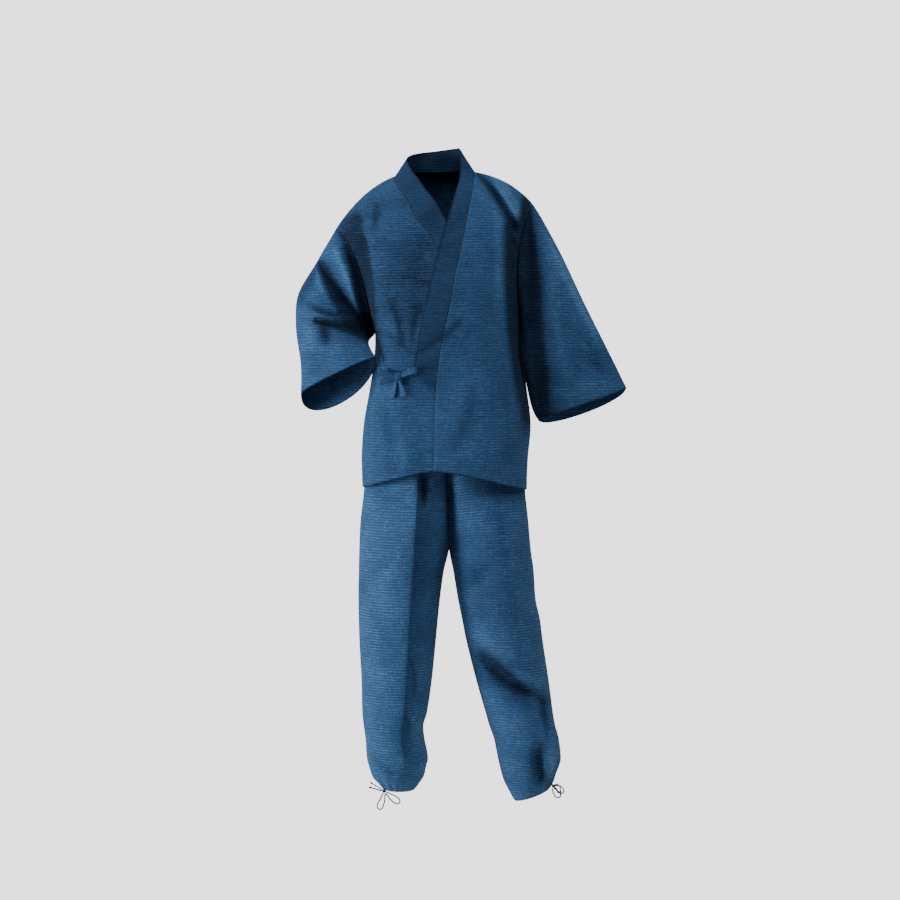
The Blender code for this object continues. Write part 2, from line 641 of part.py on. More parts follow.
LEG_LEFT = np.array([
    (-1372, 262, 184, -1, -34, 66, 16, 88, 0.0, 11, -16),
    (-1358, 270, 174, -1, -42, 72, 14, 86, 0.5, 10, -13),
    (-1336, 277, 160, -1, -56, 84, 12, 84, 1.0, 8, -7),
    (-1314, 284, 152, -1, -66, 92, 10, 84, 1.5, 4, -2),
    (-1292, 288, 146.5, -1, -72, 97, 9, 84, 2.0, 0, 0),
    (-1248, 283, 137.6, -1, -75, 98, 8, 82, 2.0, 0, 0),
    (-1218, 275, 127, -1, -78, 97, 6, 81, 2.0, 0, 0),
    (-1190, 270, 119, -1, -80, 95, 5, 80, 2.0, 0, 0),
    (-1115, 260, 97.7, -1, -88, 92, 3, 78, 2.0, 0, 0),
    (-1026, 246.4, 75.5, -1, -98, 92, 0, 74, 2.5, 0, 0),
    (-980, 240.5, 66.5, -1, -101, 95, 0, 72, 3.2, 0, 0),
    (-937, 231, 57.7, -1, -104, 98, 0, 70, 4.0, 0, 0),
    (-870, 226, 46.6, -1, -109, 108, 0, 67, 5.0, 0, 0),
    (-826, 220, 38.2, -1, -113, 118, 0, 66, 5.0, 0, 0),
    (-760, 214, 37.2, -0.74, -117, 121, 0, 63, 5.0, 0, 0),
    (-690, 206.8, 35.4, -0.42, -119, 120, 0, 60, 4.5, 0, 0),
    (-640, 207.4, 33.4, -0.25, -118, 117, 0, 62, 4.0, 0, 0),
    (-560, 206, 31.4, -0.08, -112, 108, 0, 66, 2.0, 0, 0),
    (-495, 178, 28.4, 0.0, -104, 98, 0, 76, 0.0, 0, 0),
], dtype=float)
MIDDLE = np.array([(CROTCH, 37.8), (WAIST, WAIST_X)])   # height, x of the plane between the legs
KNEE = -1026.0              # height where the leg's rows grow wider apart
OVER_HEM = 4                # table row where the ankle's gathered stretch ends
CREASE_WIDTH = 22.0         # degrees over which the pressed crease falls away
LEG_ROUND = 0.9             # power of the sine that rounds the leg's section
LEG_COLS = 5                # columns on each side of the crease


def leg_point(r, degrees, facing):
    """Point of a leg at an angle round it; 0 is the outer seam, 180 the inner one."""
    height, outer_x, inner_x, cut, front_y, back_y, seam_y, crease, crease_high, dz_outer, dz_inner = r
    turn = math.radians(degrees)
    across = (1 - math.cos(turn)) / (1 - cut)
    x = outer_x + (inner_x - outer_x) * across
    reach = (seam_y - front_y if facing < 0 else back_y - seam_y) - SEAM / 2
    bulge = reach * abs(math.sin(turn)) ** LEG_ROUND
    bulge += crease_high * math.exp(-abs(degrees - crease) / CREASE_WIDTH) * math.sin(turn)
    z = height + dz_outer * (1 - across) + dz_inner * across
    folds = LEG_FRONT_FOLDS if facing < 0 else LEG_BACK_FOLDS
    bulge -= fold_depth(folds, x, z) * math.sin(turn)
    return np.array([x, seam_y + facing * (SEAM / 2 + bulge), z])


def leg_heights(table):
    """Heights of the rows of a leg, closer together at the ankle and the seat."""
    foot, gathered = table[0, 0], table[OVER_HEM, 0]
    return np.concatenate([
        np.linspace(foot, gathered, 6), np.linspace(gathered, KNEE, 9)[1:],
        np.linspace(KNEE, CROTCH, 6)[1:], np.linspace(CROTCH, WAIST, 9)[1:]])


def leg_panel(name, table, facing, side):
    """Front or back of one trouser leg, from hem to waist; side is -1 right and 1 left."""
    heights = leg_heights(table)
    grid = np.zeros((len(heights), 2 * LEG_COLS + 1, 3))
    for i, height in enumerate(heights):
        r = read(table, height)
        if height > CROTCH - 0.01:
            r[2] = np.interp(height, MIDDLE[:, 0], MIDDLE[:, 1]) + side * SEAM / 2
        r[3] = min(max(r[3], -1.0), 0.0)
        end = math.degrees(math.acos(r[3]))
        crease = min(r[7], end - 8)
        degrees = np.concatenate([np.linspace(0, crease, LEG_COLS + 1),
                                  np.linspace(crease, end, LEG_COLS + 1)[1:]])
        gather = HEM_GATHER * ease(table[2, 0], table[0, 0], height)
        for j, angle in enumerate(degrees):
            p = leg_point(r, angle, facing)
            if 0 < j < 2 * LEG_COLS:
                centre = np.array([(r[1] + r[2]) / 2, r[6], p[2]])
                p = p + unit(p - centre) * gather * (1 if j % 2 else -1)
            grid[i, j] = p
    normals = softened(grid_normals(grid, side * facing))
    normals[:, 0, 1] = 0.0
    normals[-1, :, 2] = 0.0
    normals[heights > CROTCH + 1, -1, 0] = 0.0
    normals[heights < CROTCH - 1, -1, 1] = 0.0
    normals[abs(heights - CROTCH) < 1, -1] = (0.0, 0.0, -1.0)
    add_panel(name, grid, grid - unit(normals) * WALL, INDIGO)
    return grid[-1]


top_front_right = leg_panel("trouser_front_right", LEG_RIGHT, -1, -1)
top_back_right = leg_panel("trouser_back_right", LEG_RIGHT, 1, -1)
top_front_left = leg_panel("trouser_front_left", LEG_LEFT, -1, 1)
top_back_left = leg_panel("trouser_back_left", LEG_LEFT, 1, 1)


# Waistband of the trousers: a ring on the top edge of the four leg pieces

WAIST_DRAWN = 0.02          # share by which its drawn-in top is smaller than its foot


def waistband():
    """The waistband."""
    foot = np.concatenate([top_front_right, top_front_left[::-1][1:], top_back_left[1:],
                           top_back_right[::-1][1:-1]])
    middle = np.array([WAIST_X, 0.0])
    grid = np.repeat(foot[None], 4, axis=0)
    for i, up in enumerate((0.0, 0.33, 0.66, 1.0)):
        grid[i, :, :2] = middle + (foot[:, :2] - middle) * (1 - WAIST_DRAWN * up)
        grid[i, :, 2] = WAIST + SEAM + WAISTBAND * up
    normals = grid_normals(grid, 1, closed=True)
    normals[0, :, 2] = 0.0
    add_panel("waistband", grid, grid - unit(normals) * WALL, INDIGO, closed=True)


waistband()


# Waist tie: a strip from the upper front and one from the lower, tied in a small bow

KNOT_X, KNOT_Z = -72.0, -441.0
KNOT_LIFT = 9.9                         # distance of its middle off the lower front
KNOT_HALF = np.array([7.6, 5.2, 9.0])   # half its size along x, y and z
STRAND_THICK, LOOP_THICK, TAIL_THICK = 1.8, 1.6, 2.0


def on_lower_front(x, z, lift):
    """Point at a distance off the lower front."""
    y = body_point(FRONT, row_at(x, z), x, -1)[1] + pressed(x, z)
    return np.array([x, y - lift, z])


def lifted(table):
    """Path points x, z, lift off the lower front."""
    return [on_lower_front(x, z, lift) for x, z, lift in table]


def straight_out(table):
    """Path points x, z, lift on the plane that touches the lower front at the knot."""
    base = on_lower_front(KNOT_X, KNOT_Z, 0.0)
    beside = on_lower_front(KNOT_X - 16, KNOT_Z, 0.0)
    along = unit(np.array([base[0] - beside[0], base[1] - beside[1], 0.0]))
    off = np.array([along[1], -along[0], 0.0])
    return [base + along * (x - KNOT_X) + off * lift + np.array([0.0, 0.0, z - KNOT_Z])
            for x, z, lift in table]


def add_strip(name, centre, across, widths, thick):
    """A flat strip of cloth along a path; across is its width direction."""
    centre = np.array(centre)
    across = np.tile(unit(np.array(across, dtype=float)), (len(centre), 1))
    face = unit(np.cross(unit(np.gradient(centre, axis=0)), across))
    half = np.array(widths, dtype=float)[:, None] / 2 * across
    edges = np.stack([centre - half, centre + half], axis=1)
    add_panel(name, edges + face[:, None, :] * thick / 2, edges - face[:, None, :] * thick / 2, INDIGO_TIE)


def add_knot(name, middle, half, look, turns, rings):
    """A small rounded knot; half is half its size along x, y and z."""
    points = []
    for i in range(1, rings):
        lean = math.pi * i / rings
        for j in range(turns):
            turn = 2 * math.pi * j / turns
            ball = np.array([math.sin(lean) * math.cos(turn), math.sin(lean) * math.sin(turn), math.cos(lean)])
            points.append(middle + np.sign(ball) * np.abs(ball) ** 0.8 * half)
    top, bottom = len(points), len(points) + 1
    points += [middle + (0, 0, half[2]), middle - (0, 0, half[2])]
    faces = []
    for j in range(turns):
        k = (j + 1) % turns
        faces.append((top, j, k))
        faces.append((bottom, (rings - 2) * turns + k, (rings - 2) * turns + j))
        for i in range(rings - 2):
            faces.append((i * turns + j, (i + 1) * turns + j, (i + 1) * turns + k, i * turns + k))
    add_mesh(name, np.array(points), faces, look)


# x, z, distance off the lower front
STRAND_OVER = [(-71.7, -440, 2.6), (-62, -438, 2.6), (-52, -434, 2.8), (-41.8, -428, 3.4)]
STRAND_UNDER = [(-72.3, -441, 3.5), (-86, -445, 3.2), (-99, -449, 3.4), (-112, -453, 3.6)]
STRAND_WIDTHS = [10, 12, STRIP, STRIP]
LOOP_RIGHT = [(-75.4, -439, 11.0), (-90, -436, 13.4), (-101, -433, 14.8), (-110, -431, 14.0), (-114, -431, 10.8),
              (-110, -432, 7.6), (-101, -434, 6.6), (-90, -437, 7.0), (-76.2, -440, 8.2)]
LOOP_LEFT = [(-64.3, -438, 11.2), (-54, -433, 13.4), (-43, -429, 14.6), (-34, -427, 13.6), (-31, -427, 11.2),
             (-35, -429, 8.8), (-44, -432, 7.4), (-54, -435, 7.2), (-64.3, -440, 8.2)]
LOOP_WIDTHS = [8, 13, 15, 16, 16, 16, 15, 13, 8]
TAIL_RIGHT = [(-73.8, -450.2, 8.2), (-78, -462, 6.8), (-81, -474, 5.8), (-85, -487, 5.2)]
TAIL_LEFT = [(-68.6, -450.3, 8.4), (-65, -462, 6.4), (-62, -474, 5.0), (-61, -484, 4.4)]
TAIL_WIDTHS = [6, 11, STRIP, STRIP]
UPRIGHT = (0.0, 0.0, 1.0)
TAIL_RIGHT_ACROSS = (0.8, -0.6, 0.0)
TAIL_LEFT_ACROSS = (0.88, -0.47, 0.0)

add_strip("tie_strand_over", lifted(STRAND_OVER), UPRIGHT, STRAND_WIDTHS, STRAND_THICK)
add_strip("tie_strand_under", lifted(STRAND_UNDER), UPRIGHT, STRAND_WIDTHS, STRAND_THICK)
add_strip("tie_loop_right", straight_out(LOOP_RIGHT), UPRIGHT, LOOP_WIDTHS, LOOP_THICK)
add_strip("tie_loop_left", lifted(LOOP_LEFT), UPRIGHT, LOOP_WIDTHS, LOOP_THICK)
add_strip("tie_tail_right", straight_out(TAIL_RIGHT), TAIL_RIGHT_ACROSS, TAIL_WIDTHS, TAIL_THICK)
add_strip("tie_tail_left", lifted(TAIL_LEFT), TAIL_LEFT_ACROSS, TAIL_WIDTHS, TAIL_THICK)
add_knot("tie_knot", on_lower_front(KNOT_X, KNOT_Z, KNOT_LIFT), KNOT_HALF, INDIGO_TIE, 10, 6)


# Ankle drawcords: each comes out of its hem in a knot with two loops and two free ends.
# The cords' points are x, y, z from the middle of their knot.

RIGHT_KNOT = np.array([-107.2, -15.0, -1363.6])
LEFT_KNOT = np.array([271.0, -2.8, -1354.4])
CORD_KNOT_HALF = np.array([4.2, 4.0, 4.0])
CORD_STEP = 5.0             # spacing of a cord's points, in radii
END_SWELL = 1.75            # the small knot at a free end, in radii

RIGHT_LOOP_LOW = [(-1.6, -2, -4.4), (-7, -5, -15), (-13, -7, -26), (-14.3, -8, -33.5), (-8.3, -8.5, -38.7),
                  (-2.2, -8, -34), (1.8, -6, -22), (2.8, -2.5, -4.8)]
RIGHT_LOOP_FRONT = [(3.2, -4.2, -0.5), (12, -11.5, -3.5), (22, -18.5, -7), (30, -23.5, -10.5), (35, -26, -15.5),
                    (32, -25, -21), (25, -21, -20.8), (15, -14.5, -15), (5.4, -6.6, -4.8)]
RIGHT_END_HIGH = [(-3.4, -2.2, 2.8), (-12, -4, 9.5), (-21, -5, 15), (-30.5, -4, 20.5)]
RIGHT_END_LOW = [(-5.0, -0.9, 0.5), (-14, -3, 4), (-23, -4, 7), (-33.5, -3, 9.5)]
LEFT_LOOP_OUTER = [(4.6, -1.2, 1.2), (11, -4.5, 1.5), (18, -7, -2), (22.5, -8, -8.5), (20.5, -8, -14.5),
                   (14.5, -6.5, -14.8), (9, -4.8, -9.5), (4.4, -2.8, -3.0)]
LEFT_LOOP_LOW = [(1.1, -2.7, -4.7), (5, -6.5, -7.5), (10.5, -10, -10.5), (15, -12.5, -15.5), (13.5, -13.5, -21.5),
                 (7, -12.5, -22.5), (1.5, -9.5, -18), (-1.5, -6, -11.5), (-2.7, -3.4, -4.8)]
LEFT_END_HIGH = [(3.4, 3.2, 2.4), (8, 5.5, 3), (13, 9, -1), (16, 12, -8.5), (16.5, 14.5, -18.5)]
LEFT_END_LOW = [(2.1, 2.8, -3.5), (5, 8.5, -8), (8, 15, -13), (10.5, 21.5, -17), (12.5, 27, -20)]


def add_cord(name, knot, places, radius, free_end=False):
    """A cord along a smooth path, with a small knot at its far end if that is free."""
    path = knot + np.array(places, dtype=float)
    keyed = np.column_stack([shares(path), path])
    length = np.linalg.norm(np.diff(path, axis=0), axis=1).sum()
    count = max(int(round(length / (radius * CORD_STEP))), 5)
    curve = bpy.data.curves.new(name, "CURVE")
    curve.dimensions = "3D"
    curve.bevel_depth = radius * MM
    curve.bevel_resolution = 2
    curve.use_fill_caps = True
    spline = curve.splines.new("POLY")
    spline.points.add(count)
    for n, way in enumerate(np.linspace(0, 1, count + 1)):
        x, y, z = read(keyed, way)[1:] * MM
        spline.points[n].co = (x, y, z, 1.0)
        if free_end and n >= count - 1:
            spline.points[n].radius = END_SWELL
    add_object(name, curve, DARK_CORD)


add_knot("ankle_knot_right", RIGHT_KNOT, CORD_KNOT_HALF, DARK_CORD, 8, 5)
add_cord("ankle_loop_right_low", RIGHT_KNOT, RIGHT_LOOP_LOW, CORD)
add_cord("ankle_loop_right_front", RIGHT_KNOT, RIGHT_LOOP_FRONT, CORD)
add_cord("ankle_end_right_high", RIGHT_KNOT, RIGHT_END_HIGH, CORD_END, True)
add_cord("ankle_end_right_low", RIGHT_KNOT, RIGHT_END_LOW, CORD, True)

add_knot("ankle_knot_left", LEFT_KNOT, CORD_KNOT_HALF, DARK_CORD, 8, 5)
add_cord("ankle_loop_left_outer", LEFT_KNOT, LEFT_LOOP_OUTER, CORD)
add_cord("ankle_loop_left_low", LEFT_KNOT, LEFT_LOOP_LOW, CORD)
add_cord("ankle_end_left_high", LEFT_KNOT, LEFT_END_HIGH, CORD_END, True)
add_cord("ankle_end_left_low", LEFT_KNOT, LEFT_END_LOW, CORD, True)
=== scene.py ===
# Samue as worn: a cotton jacket with wide sleeves over trousers drawn in at the ankles.
# Axes as in the frame: +X is the garment's left, -Y its front, +Z up.
# Tables are in millimetres, and a mesh is turned to metres when it is made.

import bpy
import math
import numpy as np
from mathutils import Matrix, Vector


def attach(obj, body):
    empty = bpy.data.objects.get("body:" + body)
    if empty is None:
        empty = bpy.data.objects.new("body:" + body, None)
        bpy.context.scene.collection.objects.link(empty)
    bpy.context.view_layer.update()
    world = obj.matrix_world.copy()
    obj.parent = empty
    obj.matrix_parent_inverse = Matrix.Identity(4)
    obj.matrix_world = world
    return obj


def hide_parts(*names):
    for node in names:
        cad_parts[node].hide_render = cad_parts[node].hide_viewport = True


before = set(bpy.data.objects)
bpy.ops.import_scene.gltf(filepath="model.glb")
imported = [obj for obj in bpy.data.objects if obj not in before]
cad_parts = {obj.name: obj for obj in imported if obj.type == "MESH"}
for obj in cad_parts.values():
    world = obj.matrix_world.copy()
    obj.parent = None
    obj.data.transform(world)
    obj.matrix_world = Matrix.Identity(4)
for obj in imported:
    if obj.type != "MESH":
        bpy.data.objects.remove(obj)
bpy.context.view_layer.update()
bpy.ops.object.select_all(action="DESELECT")


# Camera, lights and floor
# The view is straight on from nearly five metres away through a long lens. A large soft light
# stands far to the left of the picture, and weaker ones high on the right, overhead and behind.

MM = 0.001
BACKDROP = 2.4              # how bright the camera sees the ground and the floor
SKY_STRENGTH = 0.06         # light from all round
FLOOR_SIZE, FLOOR_HEIGHT = 14.0, -1.4775


def to_linear(hex_colour):
    """An sRGB hex value as linear red, green, blue and alpha."""
    parts = [int(hex_colour[n:n + 2], 16) / 255.0 for n in (1, 3, 5)]
    return [p / 12.92 if p <= 0.04045 else ((p + 0.055) / 1.055) ** 2.4 for p in parts] + [1.0]


def add_node(tree, kind, inputs, **settings):
    """A node of a kind. An input is a plain value, a socket, or a node for its first output."""
    made = tree.nodes.new("ShaderNode" + kind)
    for key, value in settings.items():
        setattr(made, key, value)
    for key, value in inputs.items():
        if isinstance(value, bpy.types.Node):
            value = value.outputs[0]
        if isinstance(value, bpy.types.NodeSocket):
            tree.links.new(value, made.inputs[key])
        else:
            made.inputs[key].default_value = value
    return made


def aimed(name, data, place, target):
    """A camera or light at a place, turned to look at a target."""
    made = bpy.data.objects.new(name, data)
    made.location = place
    made.rotation_euler = (Vector(target) - Vector(place)).to_track_quat("-Z", "Y").to_euler()
    bpy.context.scene.collection.objects.link(made)
    return made


def white_to_camera(tree, kind, shader, end):
    """The camera sees bright white, and all other light meets the shader."""
    bright = add_node(tree, kind, {"Color": to_linear("#FFFFFF"), "Strength": BACKDROP})
    ray = add_node(tree, "LightPath", {})
    either = add_node(tree, "MixShader", {0: ray.outputs["Is Camera Ray"], 1: shader, 2: bright})
    tree.links.new(either.outputs[0], tree.nodes[end].inputs[0])


lens = bpy.data.cameras.new("camera")
lens.sensor_width = 36.0
lens.lens = 86.5
bpy.context.scene.camera = aimed("camera", lens, (0.040, -4.8, -0.43), (0.040, 0.0, -0.604))

for name, place, target, size, watts in (
        ("key_light", (-4.06, -1.44, -0.42), (0.03, 0.0, -0.68), 1.5, 208.0),
        ("rim_light", (2.60, -1.60, 1.90), (0.15, 0.0, -0.30), 1.2, 66.0),
        ("top_light", (-0.80, -1.25, 1.90), (0.03, 0.0, -0.30), 1.2, 50.0),
        ("back_light", (0.03, 4.60, 0.60), (0.03, 0.0, -0.55), 2.0, 150.0)):
    lamp = bpy.data.lights.new(name, "AREA")
    lamp.shape = "SQUARE"
    lamp.size = size
    lamp.energy = watts
    aimed(name, lamp, place, target)

world = bpy.data.worlds.new("white_studio")
world.use_nodes = True
bpy.context.scene.world = world
sky = world.node_tree.nodes["Background"]
sky.inputs["Color"].default_value = to_linear("#F7F9FC")
sky.inputs["Strength"].default_value = SKY_STRENGTH
white_to_camera(world.node_tree, "Background", sky, "World Output")

bpy.ops.mesh.primitive_plane_add(size=FLOOR_SIZE, location=(0.0, 1.0, FLOOR_HEIGHT))
floor = bpy.context.active_object
floor.name = "studio_floor"
paint = bpy.data.materials.new("lit_white_floor_paper")
paint.use_nodes = True
sheet = paint.node_tree.nodes["Principled BSDF"]
sheet.inputs["Base Color"].default_value = to_linear("#F4F4F2")
sheet.inputs["Roughness"].default_value = 0.9
white_to_camera(paint.node_tree, "Emission", sheet, "Material Output")
floor.data.materials.append(paint)


# Ankle drawcords
# Round braided cotton cord, dark navy, 3 mm thick. Each runs in the channel of its trouser hem,
# comes out at the side and is tied in a small bow with two loops and two knotted free ends.

RIGHT_KNOT = np.array([-107.2, -15.0, -1363.6])
LEFT_KNOT = np.array([271.0, -2.8, -1354.4])
CORD, CORD_END = 1.5, 1.3   # radius of the cord, and of its two worn ends
CORD_SIDES = 12
STRANDS = (2.31, 2.9)       # radians a millimetre at which the braid runs round the cord and along it
# distance from a free end, and how many times the cord's radius it is there: a frayed tip and a
# stopper knot
STOPPER = np.array([(0, 0.55), (0.7, 1.25), (2.4, 1.75), (4.2, 1.5), (5.6, 1.0)])

# Each cord: name, knot, radius, whether it has a free end, and points from the middle of the knot.
CORDS = (
    ("ankle_loop_right_low", RIGHT_KNOT, CORD, False,
     [(-1.6, -2, -4.4), (-7, -5, -15), (-12.6, -7, -25), (-14.7, -8, -32.6), (-12.8, -8.3, -37.2),
      (-8.2, -8.5, -39.1), (-3.6, -8.3, -37.2), (-1.5, -8, -32.4), (1.8, -6, -20), (2.8, -2.5, -4.8)]),
    ("ankle_loop_right_front", RIGHT_KNOT, CORD, False,
     [(3.2, -4.2, -0.5), (12, -11.5, -2.6), (22, -18.6, -5.4), (30.2, -23.8, -8.8), (35.6, -26.8, -13.7),
      (35.8, -27, -19.4), (31.0, -24.4, -23.3), (24.4, -20.8, -22.6), (15, -14.6, -15.8), (5.4, -6.6, -4.8)]),
    ("ankle_end_right_high", RIGHT_KNOT, CORD_END, True,
     [(-3.4, -2.2, 2.8), (-12, -4, 9.5), (-21, -5, 15), (-30.5, -4, 20.5)]),
    ("ankle_end_right_low", RIGHT_KNOT, CORD, True,
     [(-5.0, -0.9, 0.5), (-14, -3, 4), (-23, -4, 7), (-33.5, -3, 9.5)]),
    ("ankle_loop_left_outer", LEFT_KNOT, CORD, False,
     [(4.6, -1.2, 1.2), (11, -4.5, 1.6), (18.2, -7, -1.6), (22.8, -8, -8.2), (21.3, -8, -13.2),
      (16.6, -7.2, -15.3), (11.6, -5.9, -12.8), (7.8, -4.4, -8.4), (4.4, -2.8, -3.0)]),
    ("ankle_loop_left_low", LEFT_KNOT, CORD, False,
     [(1.1, -2.7, -4.7), (6, -6.9, -7.4), (11.8, -10.6, -11.2), (15.4, -12.6, -16.8), (13.9, -13.4, -21.8),
      (9, -13, -23.8), (4.0, -11.4, -21.6), (0.4, -8.6, -16.6), (-1.7, -5.8, -11), (-2.7, -3.4, -4.8)]),
    ("ankle_end_left_high", LEFT_KNOT, CORD_END, True,
     [(3.4, 3.2, 2.4), (8, 5.5, 3), (13, 9, -1), (16, 12, -8.5), (16.5, 14.5, -18.5)]),
    ("ankle_end_left_low", LEFT_KNOT, CORD, True,
     [(2.1, 2.8, -3.5), (5, 8.5, -8), (8, 15, -13), (10.5, 21.5, -17), (12.5, 27, -20)]),
)


def read(table, at):
    """Every column of a table at places along its first column, on a smooth curve."""
    table, at = np.asarray(table, dtype=float), np.asarray(at, dtype=float)
    keys = table[:, 0]
    last = len(keys) - 1
    i = np.clip(np.searchsorted(keys, at, side="right") - 1, 0, last - 1)
    before, after = np.maximum(i - 1, 0), np.minimum(i + 2, last)
    step = (keys[i + 1] - keys[i])[..., None]
    t = np.clip((at[..., None] - keys[i][..., None]) / step, 0.0, 1.0)
    slope_0 = (table[i + 1] - table[before]) / (keys[i + 1] - keys[before])[..., None]
    slope_1 = (table[after] - table[i]) / (keys[after] - keys[i])[..., None]
    return ((2 * t ** 3 - 3 * t ** 2 + 1) * table[i] + (t ** 3 - 2 * t ** 2 + t) * step * slope_0
            + (3 * t ** 2 - 2 * t ** 3) * table[i + 1] + (t ** 3 - t ** 2) * step * slope_1)


def unit(v):
    """Vectors of length one."""
    return v / np.maximum(np.linalg.norm(v, axis=-1, keepdims=True), 1e-9)


def rows_through(places, counts):
    """Numbers through the places, evenly spaced between each two, with a count for each stretch."""
    stretches = [np.linspace(*ends, count) for *ends, count in zip(places, places[1:], counts)]
    return np.concatenate([stretches[0]] + [stretch[1:] for stretch in stretches[1:]])


def lengths(points):
    """Distance of each point along a line of points."""
    steps = np.linalg.norm(np.diff(points, axis=0), axis=-1)
    return np.concatenate([np.zeros((1,) + steps.shape[1:]), np.cumsum(steps, axis=0)])


def smooth_path(places, step):
    """Points about a step apart on a smooth line through the places."""
    places = np.array(places, dtype=float)
    far = lengths(places)
    keyed = np.column_stack([far / far[-1], places])
    return read(keyed, np.linspace(0, 1, int(far[-1] / step) + 2))[:, 1:]


def new_piece(name, points, faces, corners, finish):
    """An object from points in millimetres, faces, and a place on the cloth for each face corner."""
    mesh = bpy.data.meshes.new(name)
    mesh.from_pydata((points * MM).tolist(), [], faces)
    grain = mesh.uv_layers.new(name="grain_mm")
    grain.data.foreach_set("uv", np.asarray(corners, dtype=np.float32).ravel())
    mesh.shade_smooth()
    mesh.materials.append(finish)
    made = bpy.data.objects.new(name, mesh)
    bpy.context.scene.collection.objects.link(made)
    return made


def add_tube(name, path, radii, closed, finish):
    """A round cord along a path, with a flat cap at each end unless it is closed."""
    ahead = np.roll(path, -1, axis=0) - np.roll(path, 1, axis=0) if closed else np.gradient(path, axis=0)
    ahead = unit(ahead)
    side = unit(np.cross(ahead[0], (0.31, 0.52, 0.79)))
    turns = np.arange(CORD_SIDES) * 2 * math.pi / CORD_SIDES
    rings = []
    for place, way, radius in zip(path, ahead, radii):
        side = unit(side - way * np.dot(side, way))
        up = np.cross(way, side)
        rings.append(place + radius * (np.cos(turns)[:, None] * side + np.sin(turns)[:, None] * up))
    points = np.array(rings).reshape(-1, 3)
    down = lengths(path)
    round_mm = 2 * math.pi * CORD / CORD_SIDES
    faces, corners = [], []
    count = len(path)
    for i in range(count if closed else count - 1):
        after = (i + 1) % count
        low, high = down[i], down[i] + np.linalg.norm(path[after] - path[i])
        for j in range(CORD_SIDES):
            k = (j + 1) % CORD_SIDES
            here, there = i * CORD_SIDES, after * CORD_SIDES
            faces.append((here + j, here + k, there + k, there + j))
            corners += [(j * round_mm, low), ((j + 1) * round_mm, low),
                        ((j + 1) * round_mm, high), (j * round_mm, high)]
    if not closed:
        for ring, at in ((range(CORD_SIDES - 1, -1, -1), 0), (range(CORD_SIDES), count - 1)):
            faces.append(tuple(at * CORD_SIDES + n for n in ring))
            corners += [(n * round_mm, down[at]) for n in ring]
    return new_piece(name, points, faces, corners, finish)


def on_the_body(piece, node):
    """The calls that a piece needs: all ride on the one body, and each stands for a CAD node."""
    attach(piece, "root")
    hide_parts(node)


def threads_finish(name):
    """A new material, its nodes, its shader, and the place on the cloth whole and split in two."""
    made = bpy.data.materials.new(name)
    made.use_nodes = True
    tree = made.node_tree
    place = add_node(tree, "UVMap", {}, uv_map="grain_mm")
    return made, tree, tree.nodes["Principled BSDF"], place, add_node(tree, "SeparateXYZ", {0: place})


def twisted_cotton_finish(name, dark, pale):
    """Braided cord or twisted thread: two sets of strands cross on the slant, 1.1 mm wide, with a dull shine.
    Their colour is painted shade, dark in the grooves between strands, and painted highlight, pale on their
    crowns."""
    made, tree, shader, _, split = threads_finish(name)
    waves = []
    for slant in (1.0, -1.0):
        lean = add_node(tree, "Math", {0: split, 1: slant * STRANDS[0]}, operation="MULTIPLY")
        run = add_node(tree, "Math", {0: split.outputs[1], 1: STRANDS[1], 2: lean}, operation="MULTIPLY_ADD")
        waves.append(add_node(tree, "Math", {0: run}, operation="SINE"))
    high = add_node(tree, "Math", {0: waves[0], 1: waves[1]}, operation="MAXIMUM")
    # colour from the strands' height: painted shade in the grooves, painted highlight on the crowns
    tone = add_node(tree, "MapRange", {"Value": high, "From Min": -0.6, "From Max": 1.0})
    colour = add_node(tree, "Mix", {0: tone, 6: to_linear(dark), 7: to_linear(pale)}, data_type="RGBA")
    relief = add_node(tree, "Bump", {"Strength": 0.7, "Distance": 0.0004, "Height": tone})
    tree.links.new(colour.outputs[2], shader.inputs["Base Color"])
    tree.links.new(relief.outputs[0], shader.inputs["Normal"])
    shader.inputs["Roughness"].default_value = 0.72
    shader.inputs["Sheen Weight"].default_value = 0.15
    return made


navy_cord = twisted_cotton_finish("braided_navy_cotton_cord", "#080A10", "#1C212C")

# two overhand turns of the cord, pulled tight: the line of a three-lobed knot
turn = np.linspace(0, 2 * math.pi, 60, endpoint=False)
LOBE_OUT, LOBE_DEEP = 0.95, 2.5
lobe = LOBE_OUT * (2 + np.cos(3 * turn))
LOBES = np.column_stack([lobe * np.cos(2 * turn), LOBE_DEEP * np.sin(3 * turn), lobe * np.sin(2 * turn)])
for name, middle in (("ankle_knot_right", RIGHT_KNOT), ("ankle_knot_left", LEFT_KNOT)):
    knot = add_tube(name + "_tied", middle + LOBES, np.full(len(LOBES), CORD), True, navy_cord)
    on_the_body(knot, name)

for name, middle, radius, free, places in CORDS:
    line = middle + smooth_path(places, 0.8)
    far = lengths(line)
    left_over = far[-1] - far
    thick = np.full(len(line), radius)
    if free:
        thick = radius * np.interp(left_over, *STOPPER.T)
    piece = add_tube(name + "_braid", line, thick, False, navy_cord)
    on_the_body(piece, name)


# Trousers
# Four panels of the same cotton, sewn at the sides, the inner legs and the seat, with a crease
# pressed down each leg. The hems hold a drawcord that gathers them into small pleats.

ALONG_CLOTH = 0.25          # how far the weft lines follow the cloth and not the level
TROUSER_TONE, JACKET_TONE = 0.04, -0.30     # the trousers' tone a little paler than the jacket's
CLOTH, HEM_MORE = 1.1, 0.8  # thickness of the cotton as drawn, and what a turned hem adds
SEAM = 0.1                  # gap between panels where they are sewn
EDGE_REACH = 2.0            # how far in from a seam or edge the painted shade reaches
# painted shade at the full depth of a fold, that depth, and its least and most: a ridge, which gets a painted
# highlight, and a trough
FOLD_SHADE, FOLD_DEPTH, PALEST, DARKEST = -0.95, 11.0, -0.8, 1.6
# how far in a seam's roll and its puckers reach, and how far apart the puckers are
ROLL_REACH, PUCKER_REACH, PUCKER_EVERY = 2.2, 9.0, 10.5
